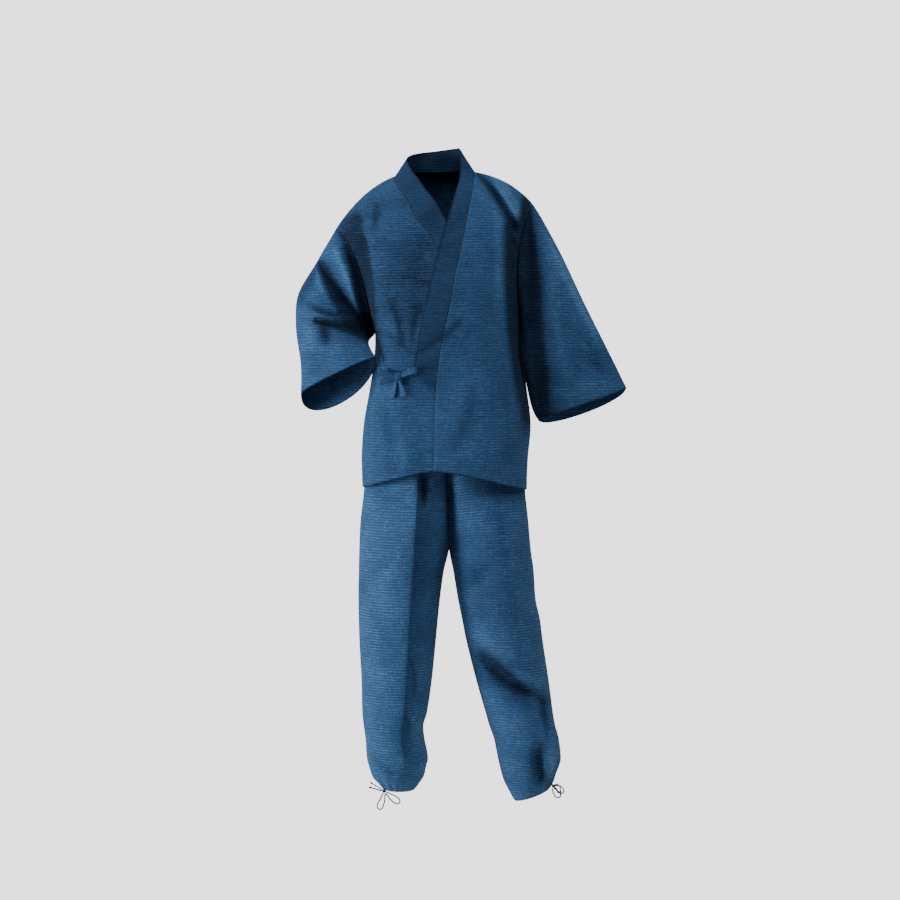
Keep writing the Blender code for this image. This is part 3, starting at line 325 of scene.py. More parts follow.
# a hem's rise, its dip at the stitches and how wide the dip is; its waves' length, height and reach
HEM_RAISED, HEM_SUNK, HEM_STITCH = 0.45, 0.5, 1.8
HEM_WAVE, HEM_WAVE_HIGH, HEM_WAVE_REACH = 13.0, 0.22, 9.0
CUT_APART = 400.0           # a panel's seed times this is its place on the cloth: no two look alike


def ease(low, high, value):
    """Smooth step from 0 to 1 as value goes from low to high."""
    t = np.clip((np.asarray(value, dtype=float) - low) / (high - low), 0.0, 1.0)
    return t * t * (3.0 - 2.0 * t)


def grid_normals(grid, side, closed=False):
    """Outward normals of a grid of points, evened out over their neighbours."""
    along = np.gradient(grid, axis=0)
    if closed:
        across = (np.roll(grid, -1, axis=1) - np.roll(grid, 1, axis=1)) / 2.0
    else:
        across = np.gradient(grid, axis=1)
    normals = unit(np.cross(across, along)) * side
    for _ in range(2):
        total = normals * 2.0
        total[1:] += normals[:-1]
        total[:-1] += normals[1:]
        if closed:
            total += np.roll(normals, 1, axis=1) + np.roll(normals, -1, axis=1)
        else:
            total[:, 1:] += normals[:, :-1]
            total[:, :-1] += normals[:, 1:]
        normals = unit(total)
    return normals


def creased(table, x, z):
    """Sum of a table's soft folds at places seen straight on. Each is shallower at its ends.
    Each row: start x z, end x z, sideways bow, width at the start, width at the end, lean, depth.
    A positive depth is a trough, and a negative one a ridge."""
    total = np.zeros(np.broadcast(x, z).shape)
    for x0, z0, x1, z1, bow, width_0, width_1, lean, depth in table:
        length = math.hypot(x1 - x0, z1 - z0)
        ux, uz = (x1 - x0) / length, (z1 - z0) / length
        along = ((x - x0) * ux + (z - z0) * uz) / length
        inside = np.clip(along, 0.0, 1.0)
        off = (z - z0) * ux - (x - x0) * uz - 4 * bow * inside * (1 - inside)
        width = width_0 + (width_1 - width_0) * inside
        beyond = (along - inside) * length / width
        taper = 0.35 + 0.65 * np.sin(math.pi * (0.15 + 0.7 * inside))
        across = off / (width * (1 + lean * np.tanh(off / width)))
        total += depth * taper * np.exp(-across ** 2 - beyond ** 2)
    return total


def fold_shade(field):
    """Painted shade in the troughs and painted highlight on the ridges of a fold field, as a tone value."""
    return FOLD_SHADE * np.clip(field / FOLD_DEPTH, PALEST, DARKEST)


def turned(grid, edge):
    """A grid turned so that row 0 is the named edge."""
    if edge in ("start", "end"):
        grid = grid.swapaxes(0, 1)
    return grid[::-1] if edge in ("top", "end") else grid


def distance_in(grid, edge):
    """Distance of every point of a grid from one of its edges."""
    away = lengths(turned(grid, edge))
    if edge in ("top", "end"):
        away = away[::-1]
    return away.swapaxes(0, 1) if edge in ("start", "end") else away


def distance_along(grid, edge):
    """Distance of every point of a grid along one of its edges."""
    line = lengths(turned(grid, edge)[0])
    return line[:, None] if edge in ("start", "end") else line[None, :]


def sewn(grid, normals, edge, roll=0.8, pucker=0.30):
    """The grid with one edge rolled in to its seam and drawn into small uneven puckers."""
    away, along = distance_in(grid, edge), distance_along(grid, edge)
    wave = np.sin(along * 2 * math.pi / PUCKER_EVERY + 1.9 * np.sin(along / 23.0)
                  + 1.4 * np.sin(along / 61.0 + 1.0))
    uneven = 0.55 + 0.45 * np.sin(along / 37.0 + 0.6)
    inward = (roll * np.exp(-(away / ROLL_REACH) ** 2)
              + pucker * wave * uneven * np.exp(-away / PUCKER_REACH))
    return grid - normals * inward[..., None]


def hem_rise(away, hem, raised):
    """How far a turned hem stands out at distances from its edge: pressed in at its stitching."""
    return raised * ease(hem + 1.5, hem - 1.5, away) - HEM_SUNK * np.exp(-((away - hem) / HEM_STITCH) ** 2)


def hem_thickness(away, hem):
    """Thickness of the cloth at distances from a hemmed edge."""
    return CLOTH + HEM_MORE * ease(hem + 1.5, hem - 0.5, away)


def hemmed(grid, normals, edge, hem):
    """The grid with a turned hem along one edge."""
    away, along = distance_in(grid, edge), distance_along(grid, edge)
    wave = np.sin(along * 2 * math.pi / HEM_WAVE + 1.6 * np.sin(along / 31.0))
    waves = HEM_WAVE_HIGH * wave * np.exp(-((away - hem) / HEM_WAVE_REACH) ** 2)
    return grid + normals * (hem_rise(away, hem, HEM_RAISED) + waves)[..., None]


def edge_shade(grid, edges):
    """Painted shade in the crevices along seams and under turned edges, partly also the darker doubled cloth
    there, as a negative tone value.
    """
    return -np.max([much * np.exp(-(distance_in(grid, edge) / EDGE_REACH) ** 2) for edge, much in edges],
                   axis=0)


def slack(x, z, much, seed):
    """Slow uneven swelling of loose cloth."""
    return much * (np.sin(x / 31.0 + seed + 0.8 * np.sin(z / 47.0)) * np.sin(z / 58.0 + 1.7 * seed)
                   + 0.5 * np.sin((x + z) / 23.0 + 2.3 * seed) * np.sin((x - z) / 71.0 + seed))


# how far a rim bulges as a share of its thickness, its width on the flat cloth, how much its tone and painted
# shade are strengthened, and the painted shade that darkens the inside
RIM_BULGE, RIM_WIDTH, RIM_SHADE_GAIN, INSIDE_SHARE, INSIDE_SHADE = 0.35, 0.6, 1.3, 0.5, -0.6


def add_cloth(name, outer, inner, finish, grain, closed=False, tone_shade_values=None):
    """A thin shell between two grids of points, with rounded rims. grain is each point's place on
    the flat cloth in millimetres, with one more column on a closed grid."""
    rows, cols = outer.shape[:2]
    skin = rows * cols
    at = np.arange(skin).reshape(rows, cols)
    place = np.arange(rows * grain.shape[1]).reshape(rows, -1)
    if closed:
        at = np.column_stack([at, at[:, 0]])
    quads, marks = (np.stack([n[:-1, :-1], n[:-1, 1:], n[1:, 1:], n[1:, :-1]], axis=-1).reshape(-1, 4)
                    for n in (at, place))
    flat = grain.reshape(-1, 2)
    if closed:
        borders = [[(0, j) for j in range(cols)], [(rows - 1, j) for j in range(cols - 1, -1, -1)]]
    else:
        borders = [[(0, j) for j in range(cols)] + [(i, cols - 1) for i in range(1, rows)]
                   + [(rows - 1, j) for j in range(cols - 2, -1, -1)]
                   + [(i, 0) for i in range(rows - 2, 0, -1)]]
    points = [outer.reshape(-1, 3), inner.reshape(-1, 3)]
    tone_shade_values = np.zeros((rows, cols)) if tone_shade_values is None else tone_shade_values
    values = [tone_shade_values.ravel(), tone_shade_values.ravel() * INSIDE_SHARE + INSIDE_SHADE]
    faces, corners = [quads, quads[:, ::-1] + skin], [flat[marks], flat[marks[:, ::-1]]]
    count = 2 * skin
    for border in borders:
        i, j = np.array(border).T
        i_in = np.clip(i, 1, rows - 2)
        j_in = j if closed else np.clip(j, 1, cols - 2)
        edge, edge_in = outer[i, j], inner[i, j]
        out = unit(edge - outer[i_in, j_in]) * np.linalg.norm(edge - edge_in, axis=1)[:, None] * RIM_BULGE
        points.append((edge + edge_in) / 2 + out)
        values.append(tone_shade_values[i, j] * RIM_SHADE_GAIN)
        a, c = i * cols + j, i * cols + j + skin
        b = count + np.arange(len(border))
        spot = flat[place[i, j]]
        spot_on = np.roll(spot, -1, axis=0)
        for low, high in ((b, a), (c, b)):
            faces.append(np.stack([low, np.roll(low, -1), np.roll(high, -1), high], axis=-1))
            corners.append(np.stack([spot, spot_on, spot_on + RIM_WIDTH, spot + RIM_WIDTH], axis=1))
        count += len(border)
    points, faces, corners = np.concatenate(points), np.concatenate(faces), np.concatenate(corners)
    a, b, c, d = (points[faces[:, n]] for n in range(4))
    volume = np.sum(a * np.cross(b, c)) + np.sum(a * np.cross(c, d))
    if volume < 0:
        faces, corners = faces[:, ::-1], corners[:, ::-1]
    made = new_piece(name, points, faces.tolist(), corners, finish)
    # the tone value of each point: the cloth's own tone, with painted shade in folds, creases, seams and
    # insides and painted highlights on ridges
    tone_and_shade = made.data.attributes.new("tone_and_shade", "FLOAT", "POINT")
    tone_and_shade.data.foreach_set("value", np.concatenate(values).astype(np.float32))
    return made


def declare_cloth(piece, grid, node, closed=False):
    """The calls that every piece of cloth needs: it rides on the body in place of its CAD part. The width and
    length of its flat cut are worked out but not used.
    """
    on_the_body(piece, node)
    ring = np.concatenate([grid, grid[:, :1]], axis=1) if closed else grid
    wide, long = lengths(ring.swapaxes(0, 1))[-1].max() * MM, lengths(ring)[-1].max() * MM


WEFT_LINES = 6.1            # distance between the pale weft threads
MIDDLE_TONE = 0.58          # place of the middle colour between the dark and the pale one
SHADE_TONE_REACH = 0.34            # how far a full tone value, painted shade and painted highlight included, moves the colour
# the threads' noises: name, size across and along the cloth in millimetres, detail
NOISES = (("fade", 95.0, 7.0, 2.0), ("sway", 160.0, 60.0, 1.0), ("slub", 15.0, 2.4, 1.0),
          ("weft", 40.0, 1.0, 1.0), ("warp", 1.1, 30.0, 1.0), ("fleck", 3.6, 3.6, 2.0),
          ("cloud", 85.0, 70.0, 3.0))


def slub_cotton_finish(name, dark, middle, pale, lines):
    """Indigo-dyed plain-weave cotton with slubbed weft. Thicker, paler weft threads lie 6 mm apart and fade
    in and out, so the cloth looks finely striped across. It is matt, with a faint nap. A tone attribute moves
    its colour: painted shade darkens it in folds, along seams, turned edges and insides, and painted
    highlights lighten the ridges. The threads between are 0.5 mm apart in the real cloth and are drawn 1 mm
    apart so that they show."""
    made, tree, shader, place, split = threads_finish(name)
    noises = {}
    for key, across, along, detail in NOISES:
        stretched = add_node(tree, "VectorMath", {0: place, 1: (1 / across, 1 / along, 1.0)},
                             operation="MULTIPLY")
        noises[key] = add_node(tree, "TexNoise", {"Vector": stretched, "Scale": 1.0, "Detail": detail},
                               noise_dimensions="2D")
    bent = add_node(tree, "Math", {0: noises["sway"], 1: 2.2}, operation="MULTIPLY")
    run = add_node(tree, "Math", {0: split.outputs[1], 1: 2 * math.pi / WEFT_LINES, 2: bent},
                   operation="MULTIPLY_ADD")
    line = add_node(tree, "Math", {0: run}, operation="SINE")
    patchy = add_node(tree, "MapRange", {"Value": noises["fade"], "From Min": 0.34, "From Max": 0.66,
                                         "To Min": 0.35, "To Max": 1.0})
    lined = add_node(tree, "Math", {0: line, 1: patchy}, operation="MULTIPLY")
    tone = add_node(tree, "Math", {0: lined, 1: lines, 2: MIDDLE_TONE}, operation="MULTIPLY_ADD")
    for key, much in (("slub", 0.34), ("weft", 0.40), ("warp", 0.30), ("fleck", 0.50), ("cloud", 0.30)):
        centred = add_node(tree, "Math", {0: noises[key], 1: 0.5}, operation="SUBTRACT")
        tone = add_node(tree, "Math", {0: centred, 1: much, 2: tone}, operation="MULTIPLY_ADD")
    # the tone value, which carries painted shade and painted highlight as well as the cloth's own tone
    tone_and_shade = add_node(tree, "Attribute", {}, attribute_name="tone_and_shade")
    tone = add_node(tree, "Math", {0: tone_and_shade.outputs["Fac"], 1: SHADE_TONE_REACH, 2: tone}, operation="MULTIPLY_ADD")
    colour = add_node(tree, "ValToRGB", {0: tone})
    stops = colour.color_ramp.elements
    stops[0].position, stops[0].color = 0.0, to_linear(dark)
    stops[1].position, stops[1].color = 1.0, to_linear(pale)
    stops.new(MIDDLE_TONE).color = to_linear(middle)
    # relief: the pale lines and the crossing threads stand up
    high = lined
    for key, much in (("weft", 0.8), ("warp", 0.5), ("fleck", 0.9)):
        high = add_node(tree, "Math", {0: noises[key], 1: much, 2: high}, operation="MULTIPLY_ADD")
    relief = add_node(tree, "Bump", {"Strength": 0.35, "Distance": 0.0005, "Height": high})
    dull = add_node(tree, "MapRange", {"Value": tone, "To Min": 0.92, "To Max": 0.78})
    for node, socket in ((colour, "Base Color"), (dull, "Roughness"), (relief, "Normal")):
        tree.links.new(node.outputs[0], shader.inputs[socket])
    shader.inputs["Specular IOR Level"].default_value = 0.16
    shader.inputs["Sheen Weight"].default_value = 0.08
    shader.inputs["Sheen Roughness"].default_value = 0.45
    shader.inputs["Sheen Tint"].default_value = to_linear("#7FA6DC")
    return made


STITCH_EVERY = 4.0          # distance from one stitch to the next
THREAD_SIDES = 6
# rings of a stitch: place along it, radius, and lift off the cloth
THREAD_RINGS = ((-1.35, 0.14, -0.22), (-0.85, 0.27, 0.12), (0.85, 0.27, 0.12), (1.35, 0.14, -0.22))


def add_stitches(name, line, outward, slot="indigo_cotton"):
    """Running stitches along a line on the cloth, each sinking in at both ends."""
    far = lengths(line)
    at = np.arange(STITCH_EVERY, far[-1] - STITCH_EVERY, STITCH_EVERY)
    middle, up, ahead = (np.stack([np.interp(at, far, v[:, n]) for n in range(3)], axis=-1)
                         for v in (line, outward, np.gradient(line, axis=0)))
    ahead = unit(ahead)
    up = unit(up - ahead * np.sum(up * ahead, axis=1, keepdims=True))
    across = np.cross(ahead, up)
    turns = np.arange(THREAD_SIDES) * 2 * math.pi / THREAD_SIDES
    rings = []
    for along, radius, lift in THREAD_RINGS:
        ring = (ahead * along + up * lift)[:, None] + radius * (
            across[:, None] * np.cos(turns)[:, None] + up[:, None] * np.sin(turns)[:, None])
        rings.append(middle[:, None] + ring)
    points = np.stack(rings, axis=1).reshape(-1, 3)
    faces, corners = [], []
    for first in range(0, len(points), len(THREAD_RINGS) * THREAD_SIDES):
        for i in range(len(THREAD_RINGS) - 1):
            low, high = first + i * THREAD_SIDES, first + (i + 1) * THREAD_SIDES
            for j in range(THREAD_SIDES):
                k = (j + 1) % THREAD_SIDES
                faces.append((low + j, high + j, high + k, low + k))
                corners += [(j, i), (j, i + 1), (j + 1, i + 1), (j + 1, i)]
        last = first + (len(THREAD_RINGS) - 1) * THREAD_SIDES
        faces += [tuple(range(first, first + THREAD_SIDES)),
                  tuple(range(last + THREAD_SIDES - 1, last - 1, -1))]
        corners += [(j, 0) for j in range(2 * THREAD_SIDES)]
    piece = new_piece(name, points, faces, corners, navy_thread)
    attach(piece, "root")


def sewn_line(grid, normals, edge, inward):
    """Points and normals of a stitch line at a distance in from an edge, on the cloth's outer face."""
    away = turned(distance_in(grid, edge), edge)
    grid, normals = turned(grid, edge), turned(normals, edge)
    row = np.argmin(np.abs(away - inward), axis=0)
    cols = np.arange(grid.shape[1])
    return grid[row, cols], normals[row, cols]


def cloth_panel(name, node, grid, normals, hem, rims, grain, tone_and_shade, edges, row="_hem_stitches"):
    """A panel from its outer points, its hem stitched. No rim leans over a seam: there the normals
    are flattened, at the indices that rims gives. It returns the inner points."""
    lean = normals.copy()
    for rim in rims:
        lean[rim] = 0.0
    inner = grid - unit(lean) * hem_thickness(distance_in(grid, "foot"), hem)[..., None]
    piece = add_cloth(name, grid, inner, indigo, grain, tone_shade_values=tone_and_shade + edge_shade(grid, edges))
    add_stitches(name + row, *sewn_line(grid, normals, "foot", hem))
    declare_cloth(piece, grid, node)
    return inner


navy_thread = twisted_cotton_finish("twisted_navy_sewing_thread", "#122036", "#2A4160")
indigo = slub_cotton_finish("indigo_slub_cotton", "#06162A", "#284B72", "#50789F", 0.16)

# Each row: height, outer x, inner x, cut, front y, back y, seam y, crease angle, crease height,
# height change at the outer side, height change at the inner side.
# The cut is the cosine at which a leg meets the middle plane: 0 at the waist, -1 below the crotch.
LEG_RIGHT = (
    (-1366, -110, -38, -1, -36, 64, 16, 92, 0, 5, 4),
    (-1353, -120, -26, -1, -44, 70, 14, 92, 1, 4, 7),
    (-1338, -133, -18, -1, -56, 82, 12, 96, 2.5, 3, 5),
    (-1314, -141, -13, -1, -66, 92, 10, 102, 5, 2, 2),
    (-1292, -146, -9, -1, -72, 97, 9, 104, 7, 0, 0),
    (-1248, -149, -17, -1, -76, 97, 8, 104, 8, 0, 0),
    (-1218, -153, -19, -1, -79, 96, 6, 106, 8, 0, 0),
    (-1190, -156, -11, -1, -81, 95, 5, 106, 8, 0, 0),
    (-1115, -157.6, 0, -1, -88, 92, 3, 105, 8, 0, 0),
    (-1026, -162, 9, -1, -97, 92, 0, 106, 8.5, 0, 0),
    (-937, -164, 17.8, -1, -104, 98, 0, 106, 9, 0, 0),
    (-870, -163, 27, -1, -109, 108, 0, 105, 9, 0, 0),
    (-826, -162, 37.4, -1, -113, 118, 0, 103, 9, 0, 0),
    (-760, -159, 36.4, -0.74, -117, 121, 0, 96, 9, 0, 0),
    (-690, -151.2, 34.6, -0.42, -119, 120, 0, 85, 8, 0, 0),
    (-640, -151.6, 32.6, -0.25, -118, 117, 0, 80, 6, 0, 0),
    (-560, -140, 30.6, -0.08, -112, 108, 0, 78, 3, 0, 0),
    (-495, -122, 27.6, 0, -104, 98, 0, 76, 0, 0, 0),
)
LEG_LEFT = (
    (-1372, 262, 184, -1, -34, 66, 16, 88, 0, 11, -16),
    (-1358, 270, 174, -1, -42, 72, 14, 86, 0.5, 10, -13),
    (-1336, 277, 160, -1, -56, 84, 12, 84, 1, 8, -7),
    (-1314, 284, 152, -1, -66, 92, 10, 84, 1.5, 4, -2),
    (-1292, 288, 146.5, -1, -72, 97, 9, 84, 2, 0, 0),
    (-1248, 283, 137.6, -1, -75, 98, 8, 82, 2, 0, 0),
    (-1218, 275, 127, -1, -78, 97, 6, 81, 2, 0, 0),
    (-1190, 270, 119, -1, -80, 95, 5, 80, 2, 0, 0),
    (-1115, 260, 97.7, -1, -88, 92, 3, 78, 2, 0, 0),
    (-1026, 246.4, 75.5, -1, -98, 92, 0, 74, 2.5, 0, 0),
    (-980, 240.5, 66.5, -1, -101, 95, 0, 72, 3.2, 0, 0),
    (-937, 231, 57.7, -1, -104, 98, 0, 70, 4, 0, 0),
    (-870, 226, 46.6, -1, -109, 108, 0, 67, 5, 0, 0),
    (-826, 220, 38.2, -1, -113, 118, 0, 66, 5, 0, 0),
    (-760, 214, 37.2, -0.74, -117, 121, 0, 63, 5, 0, 0),
    (-690, 206.8, 35.4, -0.42, -119, 120, 0, 60, 4.5, 0, 0),
    (-640, 207.4, 33.4, -0.25, -118, 117, 0, 62, 4, 0, 0),
    (-560, 206, 31.4, -0.08, -112, 108, 0, 66, 2, 0, 0),
    (-495, 178, 28.4, 0, -104, 98, 0, 76, 0, 0, 0),
)
CROTCH, WAIST, KNEE = -826.0, -495.0, -1026.0
CROTCH_X, WAIST_X = 37.8, 28.0      # where the plane between the legs stands
OVER_HEM = 4                # table row where the ankle's gathered stretch ends
CREASE_WIDTHS = (50.0, 22.0)    # degrees over which the crease falls away, outer and inner side
CREASE_MORE, CREASE_BLUNT = 1.5, 0.5    # the crease's height over the table's, and how blunt it is
# the painted shade on the crease's inner side: how much darker it is, how many degrees it reaches, and the
# crease height that has it in full
CREASE_SHADE, CREASE_SHADE_REACH, CREASE_FULL = -0.95, 27.0, 9.0
LEG_SLACK = 0.9             # height of the cloth's slow swelling
LEG_ROUND = 0.9             # power of the sine that rounds the leg's section
# edges of a leg panel that get painted seam shade, and how much
LEG_EDGES = (("foot", 1.0), ("start", 0.6), ("end", 0.9))
HALF_COLS = 34              # columns on each side of the crease
LEG_ROWS = (46, 84, 52, 70)     # rows in the gathers, up to the knee, the crotch and the waist
CHANNEL = 15.0              # height of the hem channel that holds the drawcord
PLEATS, SMALL_PLEATS = 12.5, 6.3    # how far apart they are round the ankle
PLEAT_FALLS = ((1.5, 17.0), (1.2, 45.0))    # depth, and reach up the leg
PLEAT_FRONT, PLEAT_BACK, PLEAT_AT_KNOT, KNOT_REACH = 0.08, 0.6, 0.9, 38.0   # shares of that depth
PLEAT_DARKENING = 0.25            # how much darker the top of a pleat is for each mm of its height

# the folds of the legs, in the columns that creased names
LEG_FRONT_FOLDS = (
    (112, -1056, 200, -1128, -3, 16, 14, 0.2, 15), (194, -1124, 246, -1156, 3, 9, 9, 0.2, 8),
    (245, -1150, 252, -1208, 0, 9, 7, 0, 8), (108, -1020, 176, -1052, 2, 18, 18, 0, -2.5),
    (200, -1092, 236, -1120, 0, 11, 11, 0, -5), (236, -1264, 240, -1330, 0, 12, 11, -0.3, 13),
    (262, -1226, 262, -1322, 2, 9, 9, 0.1, -5), (-46, -1062, -38, -1140, 2, 4, 4, 0.2, 6),
    (-58, -1188, -50, -1216, 1, 6, 6, 0, 7), (-44, -1190, -20, -1264, -3, 14, 14, 0, -5),
    (-150, -905, -96, -842, 5, 15, 16, 0.2, 3), (70, -900, 120, -860, -4, 14, 15, 0.2, 3.5),
    (-126, -1288, -84, -1316, 2, 8, 8, 0, 4), (38, -640, 45, -822, 1, 10, 10, 0, 15),
    (-14, -648, -18, -720, 0, 12, 9, 0, 7), (110, -690, 196, -700, -4, 14, 14, 0, 3),
)
# where painted shade darkens the legs' front or, with a negative depth, a painted highlight lightens it, in
# the same columns
LEG_SHADES = (
    (116, -1070, 196, -1136, 0, 31, 25, -0.35, 16), (84, -662, 206, -698, 0, 14, 19, 0, 11),
    (237, -1150, 256, -1236, 0, 8, 8, 0.3, 7), (284, -1296, 264, -1352, 0, 8, 10, 0, 7),
    (243, -1318, 264, -1350, 0, 9, 9, 0, 6), (90, -800, 106, -960, 0, 12, 14, 0, 3),
    (-18, -650, -10, -706, 0, 15, 11, 0, 11), (36, -650, 46, -822, 0, 11, 10, 0, 5),
    (235, -1270, 237, -1330, 0, 15, 14, -0.5, 8), (104, -810, 150, -1000, 0, 40, 45, 0, 4.5),
    (190, -1220, 205, -1345, 0, 34, 30, 0, 2.5),
)
LEG_BACK_FOLDS = (
    (-132, -812, -40, -838, -6, 16, 14, 0.2, 7), (196, -806, 104, -836, 6, 17, 14, -0.2, 7),
    (-140, -1052, -44, -1030, 5, 15, 13, 0.2, 7), (-128, -1098, -52, -1086, 3, 12, 11, 0.2, 5),
    (226, -1048, 118, -1030, -5, 16, 13, 0.2, 8), (236, -1112, 150, -1086, -4, 12, 11, 0.1, 5),
    (-120, -1262, -52, -1290, 3, 11, 10, 0.1, 5), (256, -1252, 186, -1290, -3, 11, 10, 0.1, 5),
)


def leg_grid(table, facing, side, seed):
    """Outer points of one leg panel from hem to waist, its normals, and each point's tone with painted shade
    and highlight.
    """
    foot, gathered = table[0][0], table[OVER_HEM][0]
    heights = rows_through((foot, gathered, KNEE, CROTCH, WAIST), LEG_ROWS)
    r = read(table, heights)
    plane = np.interp(heights, (CROTCH, WAIST), (CROTCH_X, WAIST_X)) + side * SEAM / 2
    r[:, 2] = np.where(heights > CROTCH - 0.01, plane, r[:, 2])
    r[:, 3] = np.clip(r[:, 3], -1.0, 0.0)
    end = np.degrees(np.arccos(r[:, 3]))
    crease = np.minimum(r[:, 7], end - 8)[:, None]
    up = np.linspace(0, 1, HALF_COLS + 1)
    degrees = np.concatenate([crease * up, crease + (end[:, None] - crease) * up[1:]], axis=1)
    height, outer_x, inner_x, cut, front_y, back_y, seam_y, _, crease_high, dz_outer, dz_inner = (
        r[:, n:n + 1] for n in range(11))
    turn = np.radians(degrees)
    across = (1 - np.cos(turn)) / (1 - cut)
    x = outer_x + (inner_x - outer_x) * across
    z = height + dz_outer * (1 - across) + dz_inner * across
    reach = (seam_y - front_y if facing < 0 else back_y - seam_y) - SEAM / 2
    bulge = reach * np.abs(np.sin(turn)) ** LEG_ROUND
    from_crease = np.sqrt((degrees - crease) ** 2 + CREASE_BLUNT ** 2)
    falls = np.where(degrees < crease, *CREASE_WIDTHS)
    bulge += CREASE_MORE * crease_high * np.exp(-from_crease / falls) * np.sin(turn)
    folds = LEG_FRONT_FOLDS if facing < 0 else LEG_BACK_FOLDS
    shows = np.sin(turn) ** 0.8 * ease(heights[0] + 20, heights[0] + 60, heights)[:, None]
    field = creased(folds, x, z)
    bulge -= field * np.sin(turn) - slack(x, z, LEG_SLACK, seed) * shows
    grid = np.stack([x, seam_y + facing * (SEAM / 2 + bulge), z], axis=-1)
    # the drawcord's pleats, deepest at the top of the channel
    inside = np.sin(np.linspace(0, math.pi, grid.shape[1]))[None, :] ** 0.4
    round_mm = distance_along(grid, "foot")
    pleat = np.sin(round_mm * 2 * math.pi / PLEATS + 1.5 * np.sin(round_mm / 19.0 + seed) + seed)
    pleat = (pleat + 0.4 * np.sin(round_mm * 2 * math.pi / SMALL_PLEATS + 2 * seed)) / 1.2
    above = heights - heights[0]
    depth = sum(deep * np.exp(-((above - CHANNEL) / reach_up) ** 2) for deep, reach_up in PLEAT_FALLS)
    knot = LEFT_KNOT if side > 0 else RIGHT_KNOT
    near = np.exp(-(np.linalg.norm(grid - knot, axis=-1) / KNOT_REACH) ** 2)
    depth = depth[:, None] * ((PLEAT_FRONT if facing < 0 else PLEAT_BACK) + PLEAT_AT_KNOT * near)
    centre = np.stack(np.broadcast_arrays((outer_x + inner_x) / 2, seam_y, z), axis=-1)
    grid = grid + unit(grid - centre) * (depth * pleat * inside)[..., None]
    normals = grid_normals(grid, side * facing)
    # painted shade beside the crease, on the side that turns away from the light
    beside = np.where(degrees > crease, CREASE_SHADE * np.exp(-from_crease / CREASE_SHADE_REACH), 0.0)
    tone_and_shade = TROUSER_TONE + beside * (crease_high / CREASE_FULL) ** 2 - PLEAT_DARKENING * pleat * depth
    # painted shade and painted highlight from the folds and, on the front panels only, from the leg shade
    # table
    tone_and_shade = tone_and_shade + fold_shade(field + creased(LEG_SHADES, x, z) * (facing < 0))
    return heights, grid, normals, tone_and_shade


def leg_panel(name, node, table, facing, side, seed):
    """Front or back of one trouser leg; side is -1 right and 1 left."""
    heights, plain, normals, tone_and_shade = leg_grid(table, facing, side, seed)
    grid = sewn(sewn(plain, normals, "start", roll=0.9), normals, "end", roll=0.9)
    grid[heights > CROTCH - 1, -8:, 0] = plain[heights > CROTCH - 1, -8:, 0]
    grid = hemmed(grid, normals, "foot", CHANNEL)
    knee = int(np.argmin(abs(heights - KNEE)))
    down = lengths(grid)
    level = grid[..., 2] + ALONG_CLOTH * (grid[knee, :, 2] + down - down[knee] - grid[..., 2])
    grain = np.stack([lengths(grid.swapaxes(0, 1)).T, level], axis=-1)
    grain[..., 0] += CUT_APART * seed
    rims = np.s_[:, 0, 1], np.s_[-1, :, 2], (heights > CROTCH + 1, -1, 0), (heights < CROTCH - 1, -1, 1)
    cloth_panel(name, node, grid, normals, CHANNEL, rims, grain, tone_and_shade, LEG_EDGES,
                "_channel_stitches")
    return grid


legs = {}
for where, table, facing, side, seed in (
        ("front_right", LEG_RIGHT, -1, -1, 1.3), ("back_right", LEG_RIGHT, 1, -1, 2.9),
        ("front_left", LEG_LEFT, -1, 1, 4.1), ("back_left", LEG_LEFT, 1, 1, 5.6)):
    legs[where] = leg_panel("leg_" + where, "trouser_" + where, table, facing, side, seed)


# Trouser waistband
# A straight strip of the same cotton sewn round the top edge, folded over a cord that draws it
# in. The jacket covers it, so it stays plain apart from its small gathers.

WAISTBAND, WAIST_ROWS = 38.0, 12
WAIST_DRAWN, GATHER = 0.02, 1.2     # how much narrower its top is, and how deep its gathers are

foot = np.concatenate([legs["front_right"][-1], legs["front_left"][-1][::-1][1:],
                       legs["back_left"][-1][1:], legs["back_right"][-1][::-1][1:-1]])
up = np.linspace(0, 1, WAIST_ROWS)
waist_middle = np.array([WAIST_X, 0.0])
band = np.repeat(foot[None], len(up), axis=0)
round_mm = lengths(foot)
gather = GATHER * np.sin(round_mm / 2.6 + 1.4 * np.sin(round_mm / 17.0)) * np.sin(math.pi * up[:, None])
out = unit(foot[:, :2] - waist_middle)
band[..., :2] = (waist_middle + (foot[:, :2] - waist_middle) * (1 - WAIST_DRAWN * up[:, None, None])
                 - out * (1.0 + gather[..., None]) * np.sin(math.pi * up[:, None, None]) ** 0.5)
band[..., 2] = WAIST + SEAM + WAISTBAND * up[:, None]
band_normals = grid_normals(band, 1, closed=True)
around = np.append(round_mm, round_mm[-1] + 2.0)[None, :]
grain = np.stack(np.broadcast_arrays(around, WAISTBAND * up[:, None]), axis=-1)
waistband = add_cloth("trouser_waistband", band, band - band_normals * CLOTH, indigo, grain, closed=True)
declare_cloth(waistband, band, "waistband", closed=True)


# Jacket fronts
# Two cotton panels. The garment's left one lies over the right one, and both are sewn to the
# collar band along a slanting line, to the back at the shoulders and sides, and hemmed.

UNDER = 4.8                 # how far the lower front is pressed back under the upper one
PRESSED_FROM, PRESSED_OVER = 62.0, 46.0     # where that begins before the band's edge, and its slope
CENTRE_X, BODY_SLACK = 8.0, 0.8     # middle of the body, and height of its cloth's slow swelling
ALONG_SHOULDER = 0.6        # how much more the weft lines follow the cloth at the shoulders
SHOULDER, UNDERARM, BAND_END = 12.0, 5.0, 2.55      # row numbers in the body tables
RIDGE_ROWS = 1.2            # rows below the shoulder seam over which the folds die out
HEM = 20.0
FLATNESS = 3.3              # 2 for a round front and back, more for flatter ones

